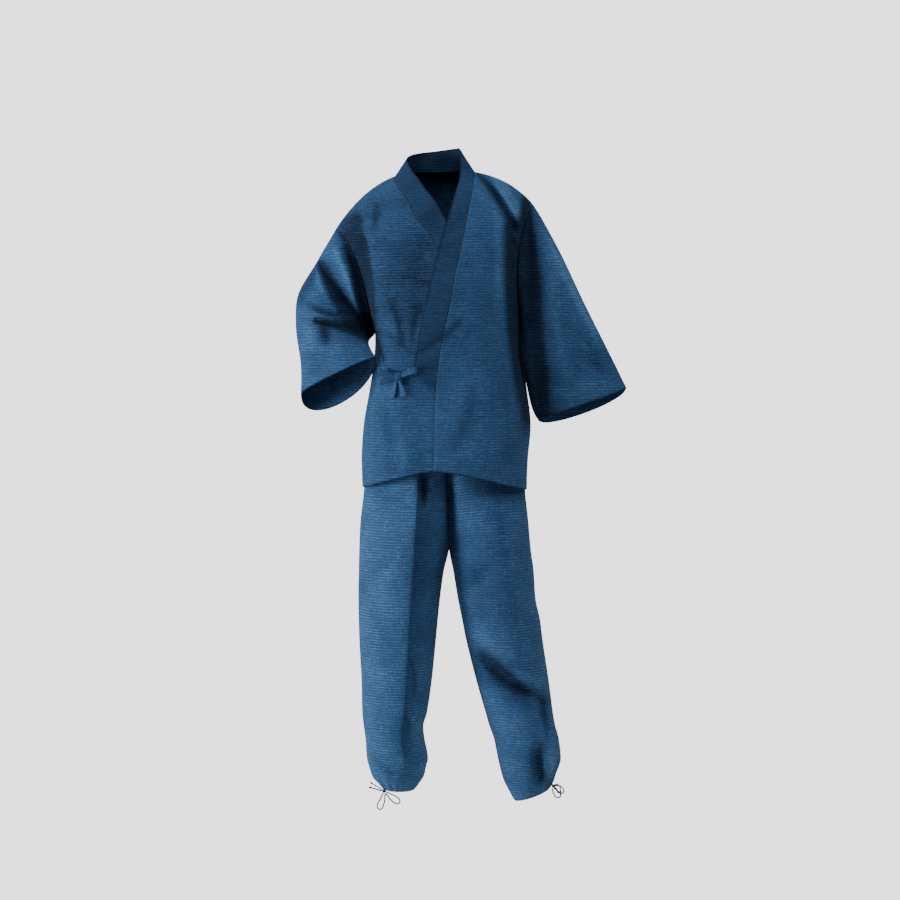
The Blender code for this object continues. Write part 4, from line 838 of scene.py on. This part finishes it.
# Each row: row number, height at the centre, depth at the centre, right side x y z, left side x y z,
# powers of the shoulder's drop right and left, fullness.
FRONT = (
    (0, -645, -150, -154, 0, -684, 210, 0, -690, 1.3, 1.3, 0.80),
    (1, -580, -146, -156, 0, -618, 213, 0, -622, 1.3, 1.3, 0.80),
    (2, -510, -141, -151, 0, -545, 219, 0, -545, 1.3, 1.3, 0.78),
    (3, -440, -140, -138, 0, -470, 210, 0, -468, 1.3, 1.3, 0.76),
    (4, -370, -141, -128, 0, -405, 201, 0, -396, 1.3, 1.3, 0.74),
    (5, -300, -141, -126, 0, -346, 194.5, 0, -326, 1.3, 1.3, 0.74),
    (6, -230, -137, -135, -46, -298, 187, -46, -266, 1.4, 1.4, 0.74),
    (7, -160, -128, -146, -57, -246, 186, -57, -208, 1.6, 1.6, 0.76),
    (8, -98, -112, -160, -56, -196, 192, -56, -152, 1.9, 2, 0.80),
    (9, -48, -93, -178, -48, -156, 202, -48, -110, 2.2, 2.5, 0.85),
    (10, -12, -68, -195, -35, -131, 213, -35, -82, 2.4, 2.9, 0.90),
    (11, 8, -37, -207, -19, -118, 221, -19, -66, 2.5, 3.1, 0.95),
    (12, 15, 0, -212, 0, -113, 224, 0, -60, 2.56, 3.2, 1),
)

# height, x of the collar seam, which is the free edge below the band
OVER_SEAM = (
    (-700, 5), (-648, 5.6), (-474, 9.8), (-420, 14.5), (-370, 21.9), (-299, 37.8), (-224, 50.8),
    (-167, 63.8), (-112, 74.7), (-55.5, 85.8), (-19.8, 92.7), (10, 95.5), (30, 96),
)
UNDER_SEAM = (
    (-700, 93), (-648, 92), (-474, 87.4), (-383, 81), (-307, 68), (-243, 50.7), (-193, 31.2),
    (-158, 12.7), (-128, -6.6), (-104, -28.8), (-58, -50.1), (-31.7, -69.6), (-14.2, -79),
    (0, -82), (30, -83),
)
# height, x of the band's free edge on the over side: the lower front is pressed down behind it
OVER_EDGE = (
    (-700, 5), (-560, 0), (-474, -30), (-431, -37.6), (-385, -31.5), (-354, -26.8), (-301, -16.1),
    (-256, -5.3), (-217, 3.3), (-182, 11.9), (-150, 20.5), (-103, 34.7), (-51, 48.7), (5, 65.3),
)

FRONT_FOLDS = (
    (104, 2, 182, -126, 4.6, 7, 9, 0.1, 16), (146, -14, 192, -108, 3, 12, 10, 0.1, -8),
    (109, -44, 157, -110, 2, 13, 13, 0.1, -3), (209, -34, 198, -136, 1, 9, 9, 0, 19),
    (164, -114, 184, -168, 1, 6, 6, 0, 9), (152, -120, 158, -300, -2, 14, 14, 0, -5),
    (179, -120, 180, -300, -2, 10, 12, 0, 18), (180, -300, 200, -460, 0, 12, 10, 0, 15),
    (-149, -150, -136, -334, 2, 14, 12, -0.45, 11), (-117, -70, -123, -124, 1, 9, 9, 0.1, 6),
    (-84, -284, -60, -366, 4, 11, 9, 0.2, 6), (-112, -344, -44, -386, 4, 9, 8, 0.2, 4.5),
    (-24, -296, -38, -364, -3, 10, 8, 0, 4.5), (60, -330, -24, -392, 4, 11, 9, 0.2, 4.5),
    (96, -470, 60, -590, 5, 16, 18, 0.2, 3.5), (-100, -520, -84, -640, 4, 14, 14, 0.1, 3.5),
    (161, -60, 161, -660, 0, 1.8, 1.8, 0, -0.45), (-127, -490, -134, -640, 0, 4, 4, 0.2, -1.6),
)
# where painted shade darkens the jacket or, with a negative depth, a painted highlight lightens it
JACKET_SHADES = (
    (-60, -90, -30, -330, 0, 100, 115, 0, 10.5), (180, -108, 223, -530, 0, 20, 35, 0.42, 20),
    (166, -122, 208, -522, -10.5, 22, 24, 0.62, 16), (211, -30, 202, -122, 0, 10, 9, 0, 12),
    (140, -6, 186, -88, 2, 12, 11, 0, -11), (-198, -110, -168, -172, 0, 14, 20, 0, 9),
    (-166, -104, -135, -332, 7, 21, 26, -0.72, 19), (-236, -198, -168, -322, -6.5, 11, 13, 0, 13),
    (250, -476, 345, -470, 0, 22, 22, 0, -4), (-180, -98, -134, -90, 0, 16, 18, 0, 6),
    (-254, -200, -291, -275, 0, 12, 14, 0, 10), (-236, -318, -232, -366, 0, 16, 16, 0, 8),
    (-234, -252, -165, -330, -6, 20, 20, 0, 8), (266, -150, 352, -330, 0, 24, 26, 0, -6),
)

ROWS = rows_through((0, BAND_END, UNDERARM, SHOULDER), (62, 54, 78))
BELOW_ARM = ROWS <= UNDERARM + 0.01
FIRST_BAND_ROW = int(np.argmin(abs(ROWS - BAND_END)))
ANCHOR_ROW = int(np.argmin(abs(ROWS - 4.5)))     # where the weft lines are level


def body_points(table, rows, x, facing, folds, seed=0.0):
    """Points of the front (facing -1) or of the back (facing 1) at rows and x."""
    r = read(table, rows)
    left = x >= CENTRE_X
    side = np.where(left[..., None], r[..., 6:9], r[..., 3:6])
    power = np.where(left, r[..., 10], r[..., 9])
    t = np.clip((x - CENTRE_X) / (side[..., 0] - CENTRE_X), 0.0, 1.0)
    full = np.sqrt(np.maximum(1.0 - t ** FLATNESS, 0.0)) ** r[..., 11]
    side_y = np.where(rows > UNDERARM, side[..., 1], 0.0) + facing * SEAM / 2
    y = side_y + (r[..., 2] + facing * SEAM / 2 - side_y) * full
    z = r[..., 1] + (side[..., 2] - r[..., 1]) * t ** power
    shows = full ** 0.5 * ease(SHOULDER, SHOULDER - RIDGE_ROWS, rows)
    y = y - facing * shows * (creased(folds, x, z) - slack(x, z, BODY_SLACK, seed))
    return np.stack([x, y, z], axis=-1)


def row_at(x, z):
    """Row numbers at which the front passes heights."""
    low, high = np.zeros(x.shape), np.full(x.shape, SHOULDER)
    for _ in range(26):
        mid = (low + high) / 2.0
        under = body_points(FRONT, mid, x, -1, ())[..., 2] < z
        low, high = np.where(under, mid, low), np.where(under, high, mid)
    return (low + high) / 2.0


def pressed(x, z):
    """How far the lower front is pressed back."""
    edge = read(OVER_EDGE, z)[..., 1]
    return UNDER * ease(0.0, 1.0, (x - edge + PRESSED_FROM) / PRESSED_OVER) * ease(20.0, -60.0, z)


def seam_x(seam):
    """x at which a seam line crosses each row of the front."""
    x = np.full(len(ROWS), 30.0)
    for _ in range(40):
        x = 0.5 * x + 0.5 * read(seam, body_points(FRONT, ROWS, x, -1, ())[..., 2])[..., 1]
    return x


def front_grid(seam, side, cols, lower):
    """Outer points of one front, from its free edge or collar seam out to its side."""
    start, end = seam_x(seam), read(FRONT, ROWS)[:, side]
    turn = np.arcsin((start - CENTRE_X) / (end - CENTRE_X))[:, None]
    turn = turn + (math.pi / 2 - turn) * np.linspace(0, 1, cols)
    x = CENTRE_X + (end - CENTRE_X)[:, None] * np.sin(turn)
    rows = np.repeat(ROWS[:, None], cols, axis=1)
    grid = body_points(FRONT, rows, x, -1, FRONT_FOLDS)
    if lower:
        grid[..., 1] += pressed(x, grid[..., 2])
    return grid


def body_grain(grid, seed):
    """Places on the flat cloth: across from the first column, and down from the waist."""
    down = lengths(grid)
    level = grid[ANCHOR_ROW, :, 2] + down - down[ANCHOR_ROW]
    follows = ALONG_CLOTH + ALONG_SHOULDER * ease(-150.0, 20.0, grid[..., 2])
    level = grid[..., 2] + follows * (level - grid[..., 2])
    return np.stack([lengths(grid.swapaxes(0, 1)).T + CUT_APART * seed, level], axis=-1)


def body_panel(name, node, grid, normals, seams, rims, seed, tones, edges):
    """A front or the back of the jacket: sewn along its seams, hemmed, toned, and set on the body in place of
    its CAD part.
    """
    shaped = grid
    for edge, roll, pucker in seams:
        shaped = sewn(shaped, normals, edge, roll, pucker)
    shaped = hemmed(shaped, normals, "foot", HEM)
    # tone with painted shade in the folds and the shade table's valleys, and painted highlight on ridges
    tone_and_shade = JACKET_TONE + fold_shade(creased(tones, grid[..., 0], grid[..., 2]))
    return cloth_panel(name, node, shaped, normals, HEM, rims, body_grain(grid, seed), tone_and_shade, edges)


fronts = {}
for name, node, seam, side, cols, lower, turn_side, seam_roll, seed in (
        ("jacket_front_left", "front_left", OVER_SEAM, 6, 66, False, 1, 0.2, 7.2),
        ("jacket_front_right", "front_right", UNDER_SEAM, 3, 84, True, -1, 0.5, 8.7)):
    grid = front_grid(seam, side, cols, lower)
    normals = grid_normals(grid, turn_side)
    # painted shade along the hem, the collar seam or free edge, and the side seam
    inner = body_panel(name, node, grid, normals, (("end", 0.8, 0.3), ("start", seam_roll, 0.15)),
                       ((BELOW_ARM, -1, 1), np.s_[-1, :, 1]), seed, FRONT_FOLDS + JACKET_SHADES,
                       (("foot", 1.2), ("start", seam_roll), ("end", 0.3)))
    fronts[node] = grid, inner


# Jacket back
# One cotton panel, notched out at the neck, sewn to the fronts at the shoulders and sides,
# and hemmed a little lower than they are.

# The back has the front's sides up to row 5 and at the shoulder, and its shoulder powers.
BACK_MIDDLE = (     # height at the centre, depth at the centre, fullness
    (-690, 142, 0.70), (-606, 138, 0.70), (-526, 127, 0.70), (-450, 116, 0.72), (-372, 114, 0.78),
    (-295, 120, 0.76), (-215, 125, 0.76), (-135, 123, 0.78), (-58, 112, 0.80), (-4, 95, 0.85),
    (20, 70, 0.90), (20, 37, 0.95), (15, 0, 1),
)
BACK_SIDES = (      # right side x y z, left side x y z
    (-146, 50, -300, 197, 50, -264), (-170, 64, -247, 199, 64, -207), (-183, 62, -198, 205, 62, -152),
    (-194, 52, -158, 211, 52, -110), (-203, 37, -132, 218, 37, -82), (-209, 19, -118, 222, 19, -66),
)
BACK = np.array(FRONT, dtype=float)
BACK[:, [1, 2, 11]] = BACK_MIDDLE
BACK[6:12, 3:9] = BACK_SIDES
BACK_FOLDS = (
    (-92, -60, -128, -190, 6, 16, 20, 0.2, 6), (104, -50, 140, -180, -6, 18, 22, -0.2, 6.5),
    (-92, -336, 28, -372, -8, 18, 20, 0.2, 4), (150, -356, 36, -392, 8, 18, 20, 0.2, 4),
    (-20, -410, -44, -560, 6, 22, 26, 0.1, 4), (84, -430, 104, -590, -6, 20, 24, 0.1, 4),
)
NECK_X, NECK_HALF = 6.75, 88.75     # middle and half width of the neck
NECK_TAPER = 0.92           # share of that width below the shoulders
NECK_ROWS, NOTCH_FOOT = 2.25, 6     # rows cut out for the neck, and the row where they are taken from
SHOULDER_COLS, NECK_COLS = 30, 61

rightward = np.linspace(1, 0, SHOULDER_COLS + 1)[:-1]
notch = np.cos(np.linspace(math.pi, 0, NECK_COLS))
width = (NECK_HALF * (NECK_TAPER + (1 - NECK_TAPER) * ease(5, 10, ROWS)))[:, None]
plain = read(BACK, ROWS)
x = np.concatenate([
    NECK_X - width + (plain[:, 3:4] - NECK_X + width) * np.sin(rightward * math.pi / 2),
    NECK_X + width * notch,
    NECK_X + width + (plain[:, 6:7] - NECK_X - width) * np.sin(rightward[::-1] * math.pi / 2)], axis=1)
cut = np.concatenate([0 * rightward, NECK_ROWS * np.sqrt(np.maximum(1 - notch ** 2, 0.0)), 0 * rightward])
here = ROWS[:, None] + 0 * cut
squeezed = NOTCH_FOOT + (here - NOTCH_FOOT) * (SHOULDER - cut - NOTCH_FOOT) / (SHOULDER - NOTCH_FOOT)
back = body_points(BACK, np.where(here > NOTCH_FOOT, squeezed, here), x, 1, BACK_FOLDS, 3.3)
# painted shade along the hem, the side seams and the neck
back_in = body_panel("jacket_back", "back", back, grid_normals(back, -1),
                     (("start", 0.8, 0.3), ("end", 0.8, 0.3), ("top", 0.5, 0.2)),
                     ((BELOW_ARM, 0, 1), (BELOW_ARM, -1, 1), np.s_[-1, :SHOULDER_COLS + 1, 1],
                      np.s_[-1, -SHOULDER_COLS - 1:, 1]), 9.6, BACK_FOLDS,
                     (("foot", 1.2), ("start", 0.5), ("end", 0.5), ("top", 0.5)))


# Collar band
# A long doubled strip of cotton, stiff and a little darker, from the waist up the left front,
# round the nape and down the right front, where the other front covers it.

# Each row: share of the way, x, y, z of the free edge. 0 to 1 is the over side, 1 to 2 the nape,
# 2 to 3 the under side.
BAND_EDGE = (
    (0.00, -37.6, -142, -431), (0.09, -31.5, -142, -385), (0.155, -26.8, -143, -354),
    (0.265, -16.1, -142, -301), (0.36, -5.3, -139, -256), (0.44, 3.3, -136, -217),
    (0.51, 11.9, -132, -182), (0.58, 20.5, -125, -150), (0.68, 34.7, -108, -103),
    (0.79, 48.7, -80, -51), (0.90, 62, -44, 3), (1.00, 62.5, -4, 57),
    (1.18, 55, 34, 66), (1.34, 34, 62, 66), (1.50, 5, 74, 63), (1.66, -25, 62, 59),
    (1.82, -46, 34, 52), (2.00, -55.5, -4, 37.6),
    (2.07, -44, -34, 13), (2.13, -27, -54, -10), (2.19, -12.5, -70, -32), (2.25, 5, -84, -55),
    (2.31, 18.2, -96, -78), (2.38, 33.5, -108, -103), (2.52, 61.6, -122, -152),
    (2.62, 83.2, -129, -206), (2.74, 104.8, -132, -275), (2.89, 119.8, -132, -362),
    (3.00, 126.4, -130, -431),
)
BAND_COLS, BAND_THICK = 18, 1.9
BAND_STITCH = 3.0           # distance of its stitches from the seam
BAND_TONE = -0.42           # the band's doubled cloth looks darker than the rest
EDGE_PRESSED, EDGE_PRESSED_REACH = 0.5, 1.6     # how far its folded edge is rolled in, and over what
LEAVES_OVER, LEAVES_UNDER = (0.93, 0.72), (2.10, 2.34)  # shares of the way: off the chest, flat on it

collar_cotton = slub_cotton_finish("indigo_doubled_collar_cotton", "#08182A", "#1C395B", "#36597F", 0.13)

band_rows = slice(FIRST_BAND_ROW, len(ROWS))
nape = slice(SHOULDER_COLS, SHOULDER_COLS + NECK_COLS)
over, over_in = fronts["front_left"]
under, under_in = fronts["front_right"]
seam_line, ways = [], []
for number, (edge, beside) in enumerate(((over[band_rows, 0], over[band_rows, 1]),
                                         (back[-1, nape][::-1], back[-2, nape][::-1]),
                                         (under[band_rows, 0][::-1], under[band_rows, 1][::-1]))):
    keep = slice(1, -1) if number == 1 else slice(None)
    far = lengths(edge)
    seam_line.extend((edge + unit(edge - beside) * SEAM)[keep])
    ways.extend((far / far[-1] + number)[keep])
seam_line, ways = np.array(seam_line), np.array(ways)
free_edge = read(BAND_EDGE, ways)[:, 1:]
share = np.linspace(0, 1, BAND_COLS)[None, :, None]
collar = seam_line[:, None] * (1 - share) + free_edge[:, None] * share
lies = np.maximum(ease(*LEAVES_OVER, ways), ease(*LEAVES_UNDER, ways))[:, None] * (share[0, :, 0] > 0)
chest = body_points(FRONT, row_at(collar[..., 0], collar[..., 2]), collar[..., 0], -1, FRONT_FOLDS)[..., 1]
chest = chest + np.where(ways[:, None] > 1.5, pressed(collar[..., 0], collar[..., 2]), 0.0)
collar[..., 1] = collar[..., 1] * (1 - lies) + chest * lies
collar_normals = grid_normals(collar, -1)
collar_shaped = sewn(collar, collar_normals, "start", roll=0.5, pucker=0.15)
pressed_edge = EDGE_PRESSED * np.exp(-(distance_in(collar, "end") / EDGE_PRESSED_REACH) ** 2)
collar_shaped = collar_shaped - collar_normals * pressed_edge[..., None]
grain = np.stack([distance_in(collar, "start") + lengths(seam_line)[:, None], collar[..., 2]], axis=-1)
# painted shade along the collar seam and, strongest, along the band's free edge
tone_and_shade = JACKET_TONE + BAND_TONE + edge_shade(collar, (("start", 0.2), ("end", 1.9)))
piece = add_cloth("jacket_collar", collar_shaped, collar_shaped - collar_normals * BAND_THICK,
                  collar_cotton, grain, tone_shade_values=tone_and_shade)
declare_cloth(piece, collar_shaped, "collar")
add_stitches("jacket_collar_stitches", *sewn_line(collar_shaped, collar_normals, "start", BAND_STITCH),
             slot="indigo_collar_cotton")


# Sleeves
# Wide straight sleeves of the same cotton, each one panel folded at the top and sewn underneath,
# set into the armhole and hemmed at the open cuff.

# Each row: way, top fold x y z, bottom fold x y z, front swell x y z, back swell x y z.
SLEEVE_LEFT = (
    (0.00, 224, 0, -60, 194.5, 0, -326, 0, -52, 0, 0, 58, 0),
    (0.10, 243, 0, -92, 191.5, -20, -348, 4, -52, 4, 12, 62, 2),
    (0.28, 281, -2, -165, 195, -48, -387, 8, -54, 6, 22, 70, 2),
    (0.50, 327, -4, -261, 203, -50, -433, 8, -50, 5, 22, 70, 0),
    (0.75, 379, -7, -364, 214, -38, -486, 6, -48, 6, 14, 62, -12),
    (0.90, 411, -9, -427, 223, -26, -516, 5, -46, 3, 6, 55, -20),
    (1.00, 430, -10, -466, 235, -16, -533, 4, -44, -1, 0, 50, -26),
)
SLEEVE_RIGHT = (
    (0.00, -212, 0, -113, -126, 0, -346, 0, -52, 0, 0, 58, 0),
    (0.12, -228, 1, -142, -133, -9, -354, -4, -58, 6, -4, 60, 2),
    (0.30, -256, 2, -192, -138, -26, -361, -6, -64, 8, -8, 62, 0),
    (0.50, -296, 0, -262, -138, -46, -370, -4, -66, 10, -10, 62, -10),
    (0.68, -300, -14, -330, -134, -67, -379, 0, -60, 10, -12, 60, -26),
    (0.84, -289, -32, -402, -128, -88, -390, 4, -52, 8, -10, 58, -46),
    (1.00, -287, -52, -478, -121, -104, -401, 6, -42, 10, -4, 58, -64),
)
SLEEVE_LEFT_FOLDS = (
    (216, -66, 206, -130, 0, 9, 9, 0, 9), (208, -96, 216, -330, 3, 15, 20, 0.1, 22),
    (218, -330, 240, -520, 0, 19, 16, 0.1, 20), (252, -118, 366, -372, 4, 15, 18, 0.2, -7.5),
    (300, -250, 372, -430, 3, 12, 13, 0.2, 5), (262, -230, 300, -440, -3, 12, 13, 0.1, -4.5),
    (388, -440, 330, -395, 2, 11, 10, 0, 3.5),
)
SLEEVE_RIGHT_FOLDS = (
    (-203, -118, -166, -162, 2, 10, 10, 0.2, 11), (-207, -168, -158, -300, 3, 14, 13, 0.1, -14),
    (-176, -138, -146, -312, 2, 13, 12, 0, 17), (-181, -221, -149, -322, 0, 7, 7, 0, -5),
    (-246, -190, -150, -338, -6, 10, 14, 0.1, 19), (-253, -204, -206, -294, -7, 8, 8, 0, -6),
    (-268, -284, -205, -310, -2, 7, 7, 0.1, 9), (-252, -306, -211, -316, 0, 5, 5, 0, -4),
    (-250, -321, -140, -354, 3, 8, 10, 0.3, 17), (-232, -332, -226, -364, 0, 13, 12, 0, 8),
    (-276, -372, -150, -382, -3, 14, 14, 0.2, -5), (-276, -330, -262, -352, 1, 9, 9, 0.1, -3),
)
SLEEVE_ROUND = 0.85         # power of the sine that rounds a sleeve's section
JOINED = 0.24               # share of the sleeve that follows the armhole's own shape
BACK_FOLD_SHARE, BACK_FOLD_SHIFT = 0.7, (14, -22)   # folds behind are lower and lie beside these
SLEEVE_SLACK = 0.9
# CUFF_DARK and ARMHOLE_DARK are painted shade along the cuff's edge and in the armhole seam
CUFF_HEM, CUFF_RAISED, CUFF_DARK = 18.0, 0.4, 1.2
ARMHOLE_ROLL, ARMHOLE_PUCKER, ARMHOLE_REACH, ARMHOLE_DARK = 0.9, 0.35, 10.0, 0.4
SLEEVE_ROWS = 116


def joined_round(front, behind):
    """One ring from the armhole edges of front and back, which share their two ends."""
    ring = np.concatenate([front, behind[1:-1]])
    half = len(front) - 1
    ring[0] = (front[0] + behind[-1]) / 2
    ring[half] = (front[half] + behind[0]) / 2
    return ring


def section_points(r, turn):
    """Points of a sleeve's section; 0 is the top fold, 180 degrees the bottom one, front between."""
    top, bottom = r[..., 1:4], r[..., 4:7]
    swell = np.where(np.sin(turn)[..., None] >= 0, r[..., 7:10], r[..., 10:13])
    across = (top + bottom) / 2 + (top - bottom) / 2 * np.cos(turn)[..., None]
    return across + swell * np.abs(np.sin(turn))[..., None] ** SLEEVE_ROUND


def add_sleeve(name, node, table, folds, body, body_in, back_col, seed):
    """A sleeve from the armhole of the body out to its open cuff."""
    arm = np.flatnonzero(ROWS >= UNDERARM - 0.01)
    ring = joined_round(body[arm, -1][::-1], back[arm, back_col])
    ring_in = joined_round(body_in[arm, -1][::-1], back_in[arm, back_col])
    around = len(ring)
    side = 1.0 if ring[0, 0] > 0 else -1.0
    half_turn = np.linspace(0, math.pi, 60)
    first = read(table, 0.0)
    depths = -section_points(first[None, :], half_turn)[:, 2]
    turns = np.interp(-ring[:, 2], depths, half_turn)
    turns = np.where(np.arange(around) <= around // 2, turns, 2 * math.pi - turns)
    even = np.arange(around) * 2 * math.pi / around
    ways = np.linspace(0, 1, SLEEVE_ROWS)
    r = read(table, ways)[:, None, :]
    evened = ease(0.0, 0.5, ways)[:, None]
    a = turns[None, :] * (1 - evened) + even[None, :] * evened
    grid = section_points(r, a)
    start = section_points(first[None, :], turns)
    grid = grid + (ring - start)[None] * ease(JOINED, 0.0, ways)[:, None, None]
    shows = ease(0.0, 0.07, ways)[:, None]
    sine = np.sin(a)
    x, z = grid[..., 0], grid[..., 2]
    front_fold = creased(folds, x, z) - slack(x, z, SLEEVE_SLACK, seed)
    behind = (BACK_FOLD_SHARE * creased(folds, x + BACK_FOLD_SHIFT[0], z + BACK_FOLD_SHIFT[1])
              - slack(x, z, SLEEVE_SLACK, seed + 2))
    # the fold field that becomes painted shade and highlight on the sleeve, with the shade table's rows in
    # front
    shade_field = np.where(sine > 0, front_fold, behind) * ease(0.0, 0.25, np.abs(sine))
    shade_field = shade_field + creased(JACKET_SHADES, x, z) * ease(-0.1, 0.0, sine)
    grid[..., 1] += shows * np.where(sine > 0, front_fold * np.abs(sine) ** 0.7, -behind * np.abs(sine))
    grid[0] = ring
    normals = grid_normals(grid, side, closed=True)
    # puckers and roll at the armhole, and a turned hem at the cuff
    away = lengths(grid)
    along = lengths(ring)[None, :]
    wave = np.sin(along / 1.9 + 1.5 * np.sin(along / 29.0)) * (0.6 + 0.4 * np.sin(along / 41.0))
    inward = (ARMHOLE_ROLL * np.exp(-(away / ROLL_REACH) ** 2)
              + ARMHOLE_PUCKER * wave * np.exp(-away / ARMHOLE_REACH))
    to_cuff = away[-1] - away
    shaped = grid + normals * (hem_rise(to_cuff, CUFF_HEM, CUFF_RAISED) - inward)[..., None]
    inner = shaped - normals * hem_thickness(to_cuff, CUFF_HEM)[..., None]
    inner[0] = ring_in
    across = np.concatenate([lengths(np.concatenate([row, row[:1]]))[None] for row in grid])
    level = np.concatenate([grid[..., 2], grid[:, :1, 2]], axis=1)
    grain = np.stack([across + CUT_APART * seed, level], axis=-1)
    # tone: painted shade in folds and painted highlight on ridges, painted shade at the armhole seam and the
    # cuff's edge
    tone_and_shade = (JACKET_TONE + fold_shade(shade_field) - ARMHOLE_DARK * np.exp(-(away / EDGE_REACH) ** 2)
            - CUFF_DARK * np.exp(-(to_cuff / EDGE_REACH) ** 2))
    piece = add_cloth(name, shaped, inner, indigo, grain, closed=True, tone_shade_values=tone_and_shade)
    declare_cloth(piece, shaped, node, closed=True)
    add_stitches(name + "_cuff_stitches", *sewn_line(shaped, normals, "top", CUFF_HEM))


add_sleeve("jacket_sleeve_left", "sleeve_left", SLEEVE_LEFT, SLEEVE_LEFT_FOLDS, over, over_in, -1, 10.4)
add_sleeve("jacket_sleeve_right", "sleeve_right", SLEEVE_RIGHT, SLEEVE_RIGHT_FOLDS, under, under_in, 0, 12.1)


# Waist tie
# Two narrow strips of the cotton, folded and sewn, one from the end of the band and one from the
# lower front, tied in a small bow that lies flat beside the overlap.

KNOT_X, KNOT_Z, KNOT_LIFT = -72.0, -441.0, 9.9
KNOT_HALF = np.array([7.6, 5.2, 9.0])       # half its width, depth and height
STRIP, STRIP_COLS = 14.0, 13    # width of the folded strip, and points across it
KNOT_RINGS, KNOT_SIDES = 26, 40
KNOT_SQUARE, KNOT_CORE = 0.8, 0.2   # 1 for a round knot, less for a squarer one; size of the hollow in it
WRAP_DEEP, WRAP_WIDE = 0.10, 0.22   # the dents between the strip's turns, as shares of the knot
STRAND_THICK, LOOP_THICK, END_THICK = 1.8, 1.6, 2.0

tie_cotton = slub_cotton_finish("indigo_tie_cotton", "#081522", "#1F3E62", "#3C638F", 0.13)


def on_lower_front(x, z, lift):
    """A point that stands off the lower front."""
    x, z = np.array([float(x)]), np.array([float(z)])
    y = body_points(FRONT, row_at(x, z), x, -1, FRONT_FOLDS)[0, 1] + pressed(x, z)[0]
    return np.array([x[0], y - lift, z[0]])


def lifted(table):
    """Path points x, z, lift off the lower front."""
    return [on_lower_front(x, z, lift) for x, z, lift in table]


def straight_out(table):
    """Path points x, z, lift on the plane that touches the lower front at the knot."""
    base = on_lower_front(KNOT_X, KNOT_Z, 0.0)
    beside = on_lower_front(KNOT_X - 16, KNOT_Z, 0.0)
    along = unit(np.array([base[0] - beside[0], base[1] - beside[1], 0.0]))
    off = np.array([along[1], -along[0], 0.0])
    return [base + along * (x - KNOT_X) + off * lift + np.array([0.0, 0.0, z - KNOT_Z])
            for x, z, lift in table]


def add_strip(name, node, centre, across, widths, thick):
    """A flat strip of folded cloth along a path; across is its width direction."""
    centre = np.array(centre)
    far = lengths(centre)
    keyed = np.column_stack([far / far[-1], centre, widths])
    fine = read(keyed, np.linspace(0, 1, int(far[-1] / 1.2) + 4))
    line, wide = fine[:, 1:4], fine[:, 4]
    across = np.tile(unit(np.array(across, dtype=float)), (len(line), 1))
    face = unit(np.cross(unit(np.gradient(line, axis=0)), across))
    share = np.linspace(-1, 1, STRIP_COLS)
    crown = (1 - share ** 4) * 0.5 + 0.5
    grid = line[:, None] + across[:, None] * (wide[:, None] / 2 * share)[..., None]
    half = face[:, None] * (thick / 2 * crown)[None, :, None]
    grain = np.stack(np.broadcast_arrays(share * STRIP / 2, lengths(line)[:, None]), axis=-1)
    piece = add_cloth(name, grid + half, grid - half, tie_cotton, grain)
    declare_cloth(piece, grid, node)


UPRIGHT = (0.0, 0.0, 1.0)
STRAND_WIDTHS, END_WIDTHS = (10, 12, STRIP, STRIP), (6, 11, STRIP, STRIP)
LOOP_WIDTHS = (8, 13, 15, 16, 16, 16, 15, 13, 8)
add_strip("tie_over", "tie_strand_over", lifted([
    (-71.7, -440, 2.6), (-62, -438, 2.6), (-52, -434, 2.8), (-41.8, -428, 3.4)]),
    UPRIGHT, STRAND_WIDTHS, STRAND_THICK)
add_strip("tie_under", "tie_strand_under", lifted([
    (-72.3, -441, 3.5), (-86, -445, 3.2), (-99, -449, 3.4), (-112, -453, 3.6)]),
    UPRIGHT, STRAND_WIDTHS, STRAND_THICK)
add_strip("tie_bow_right", "tie_loop_right", straight_out([
    (-75.4, -439, 11.0), (-90, -436, 13.4), (-101, -433, 14.8), (-110, -431, 14.0), (-114, -431, 10.8),
    (-110, -432, 7.6), (-101, -434, 6.6), (-90, -437, 7.0), (-76.2, -440, 8.2)]),
    UPRIGHT, LOOP_WIDTHS, LOOP_THICK)
add_strip("tie_bow_left", "tie_loop_left", lifted([
    (-64.3, -438, 11.2), (-54, -433, 13.4), (-43, -429, 14.6), (-34, -427, 13.6), (-31, -427, 11.2),
    (-35, -429, 8.8), (-44, -432, 7.4), (-54, -435, 7.2), (-64.3, -440, 8.2)]),
    UPRIGHT, LOOP_WIDTHS, LOOP_THICK)
add_strip("tie_end_right", "tie_tail_right", straight_out([
    (-73.8, -450.2, 8.2), (-78, -462, 6.8), (-81, -474, 5.8), (-85, -487, 5.2)]),
    (0.8, -0.6, 0.0), END_WIDTHS, END_THICK)
add_strip("tie_end_left", "tie_tail_left", lifted([
    (-68.6, -450.3, 8.4), (-65, -462, 6.4), (-62, -474, 5.0), (-61, -484, 4.4)]),
    (0.88, -0.47, 0.0), END_WIDTHS, END_THICK)

# the knot: a squarish ball with the strip's turns pressed into it
lean = np.linspace(0, math.pi, KNOT_RINGS)[1:-1][:, None]
turn = np.arange(KNOT_SIDES)[None, :] * 2 * math.pi / KNOT_SIDES
ball = np.stack([np.sin(lean) * np.cos(turn), np.sin(lean) * np.sin(turn), np.cos(lean) + 0 * turn], axis=-1)
wraps = 1 - WRAP_DEEP * np.exp(-(np.sin(turn + 2.2 * lean) / WRAP_WIDE) ** 2) * np.sin(lean)
middle = on_lower_front(KNOT_X, KNOT_Z, KNOT_LIFT)
skin = np.sign(ball) * np.abs(ball) ** KNOT_SQUARE * wraps[..., None] * KNOT_HALF + middle
core = skin * KNOT_CORE + skin.mean(axis=(0, 1)) * (1 - KNOT_CORE)
grain = np.stack(np.broadcast_arrays(np.arange(KNOT_SIDES + 1)[None, :] * 0.9, lean * 9.0), axis=-1)
knot = add_cloth("tie_knot_wrapped", skin, core, tie_cotton, grain, closed=True)
on_the_body(knot, "tie_knot")
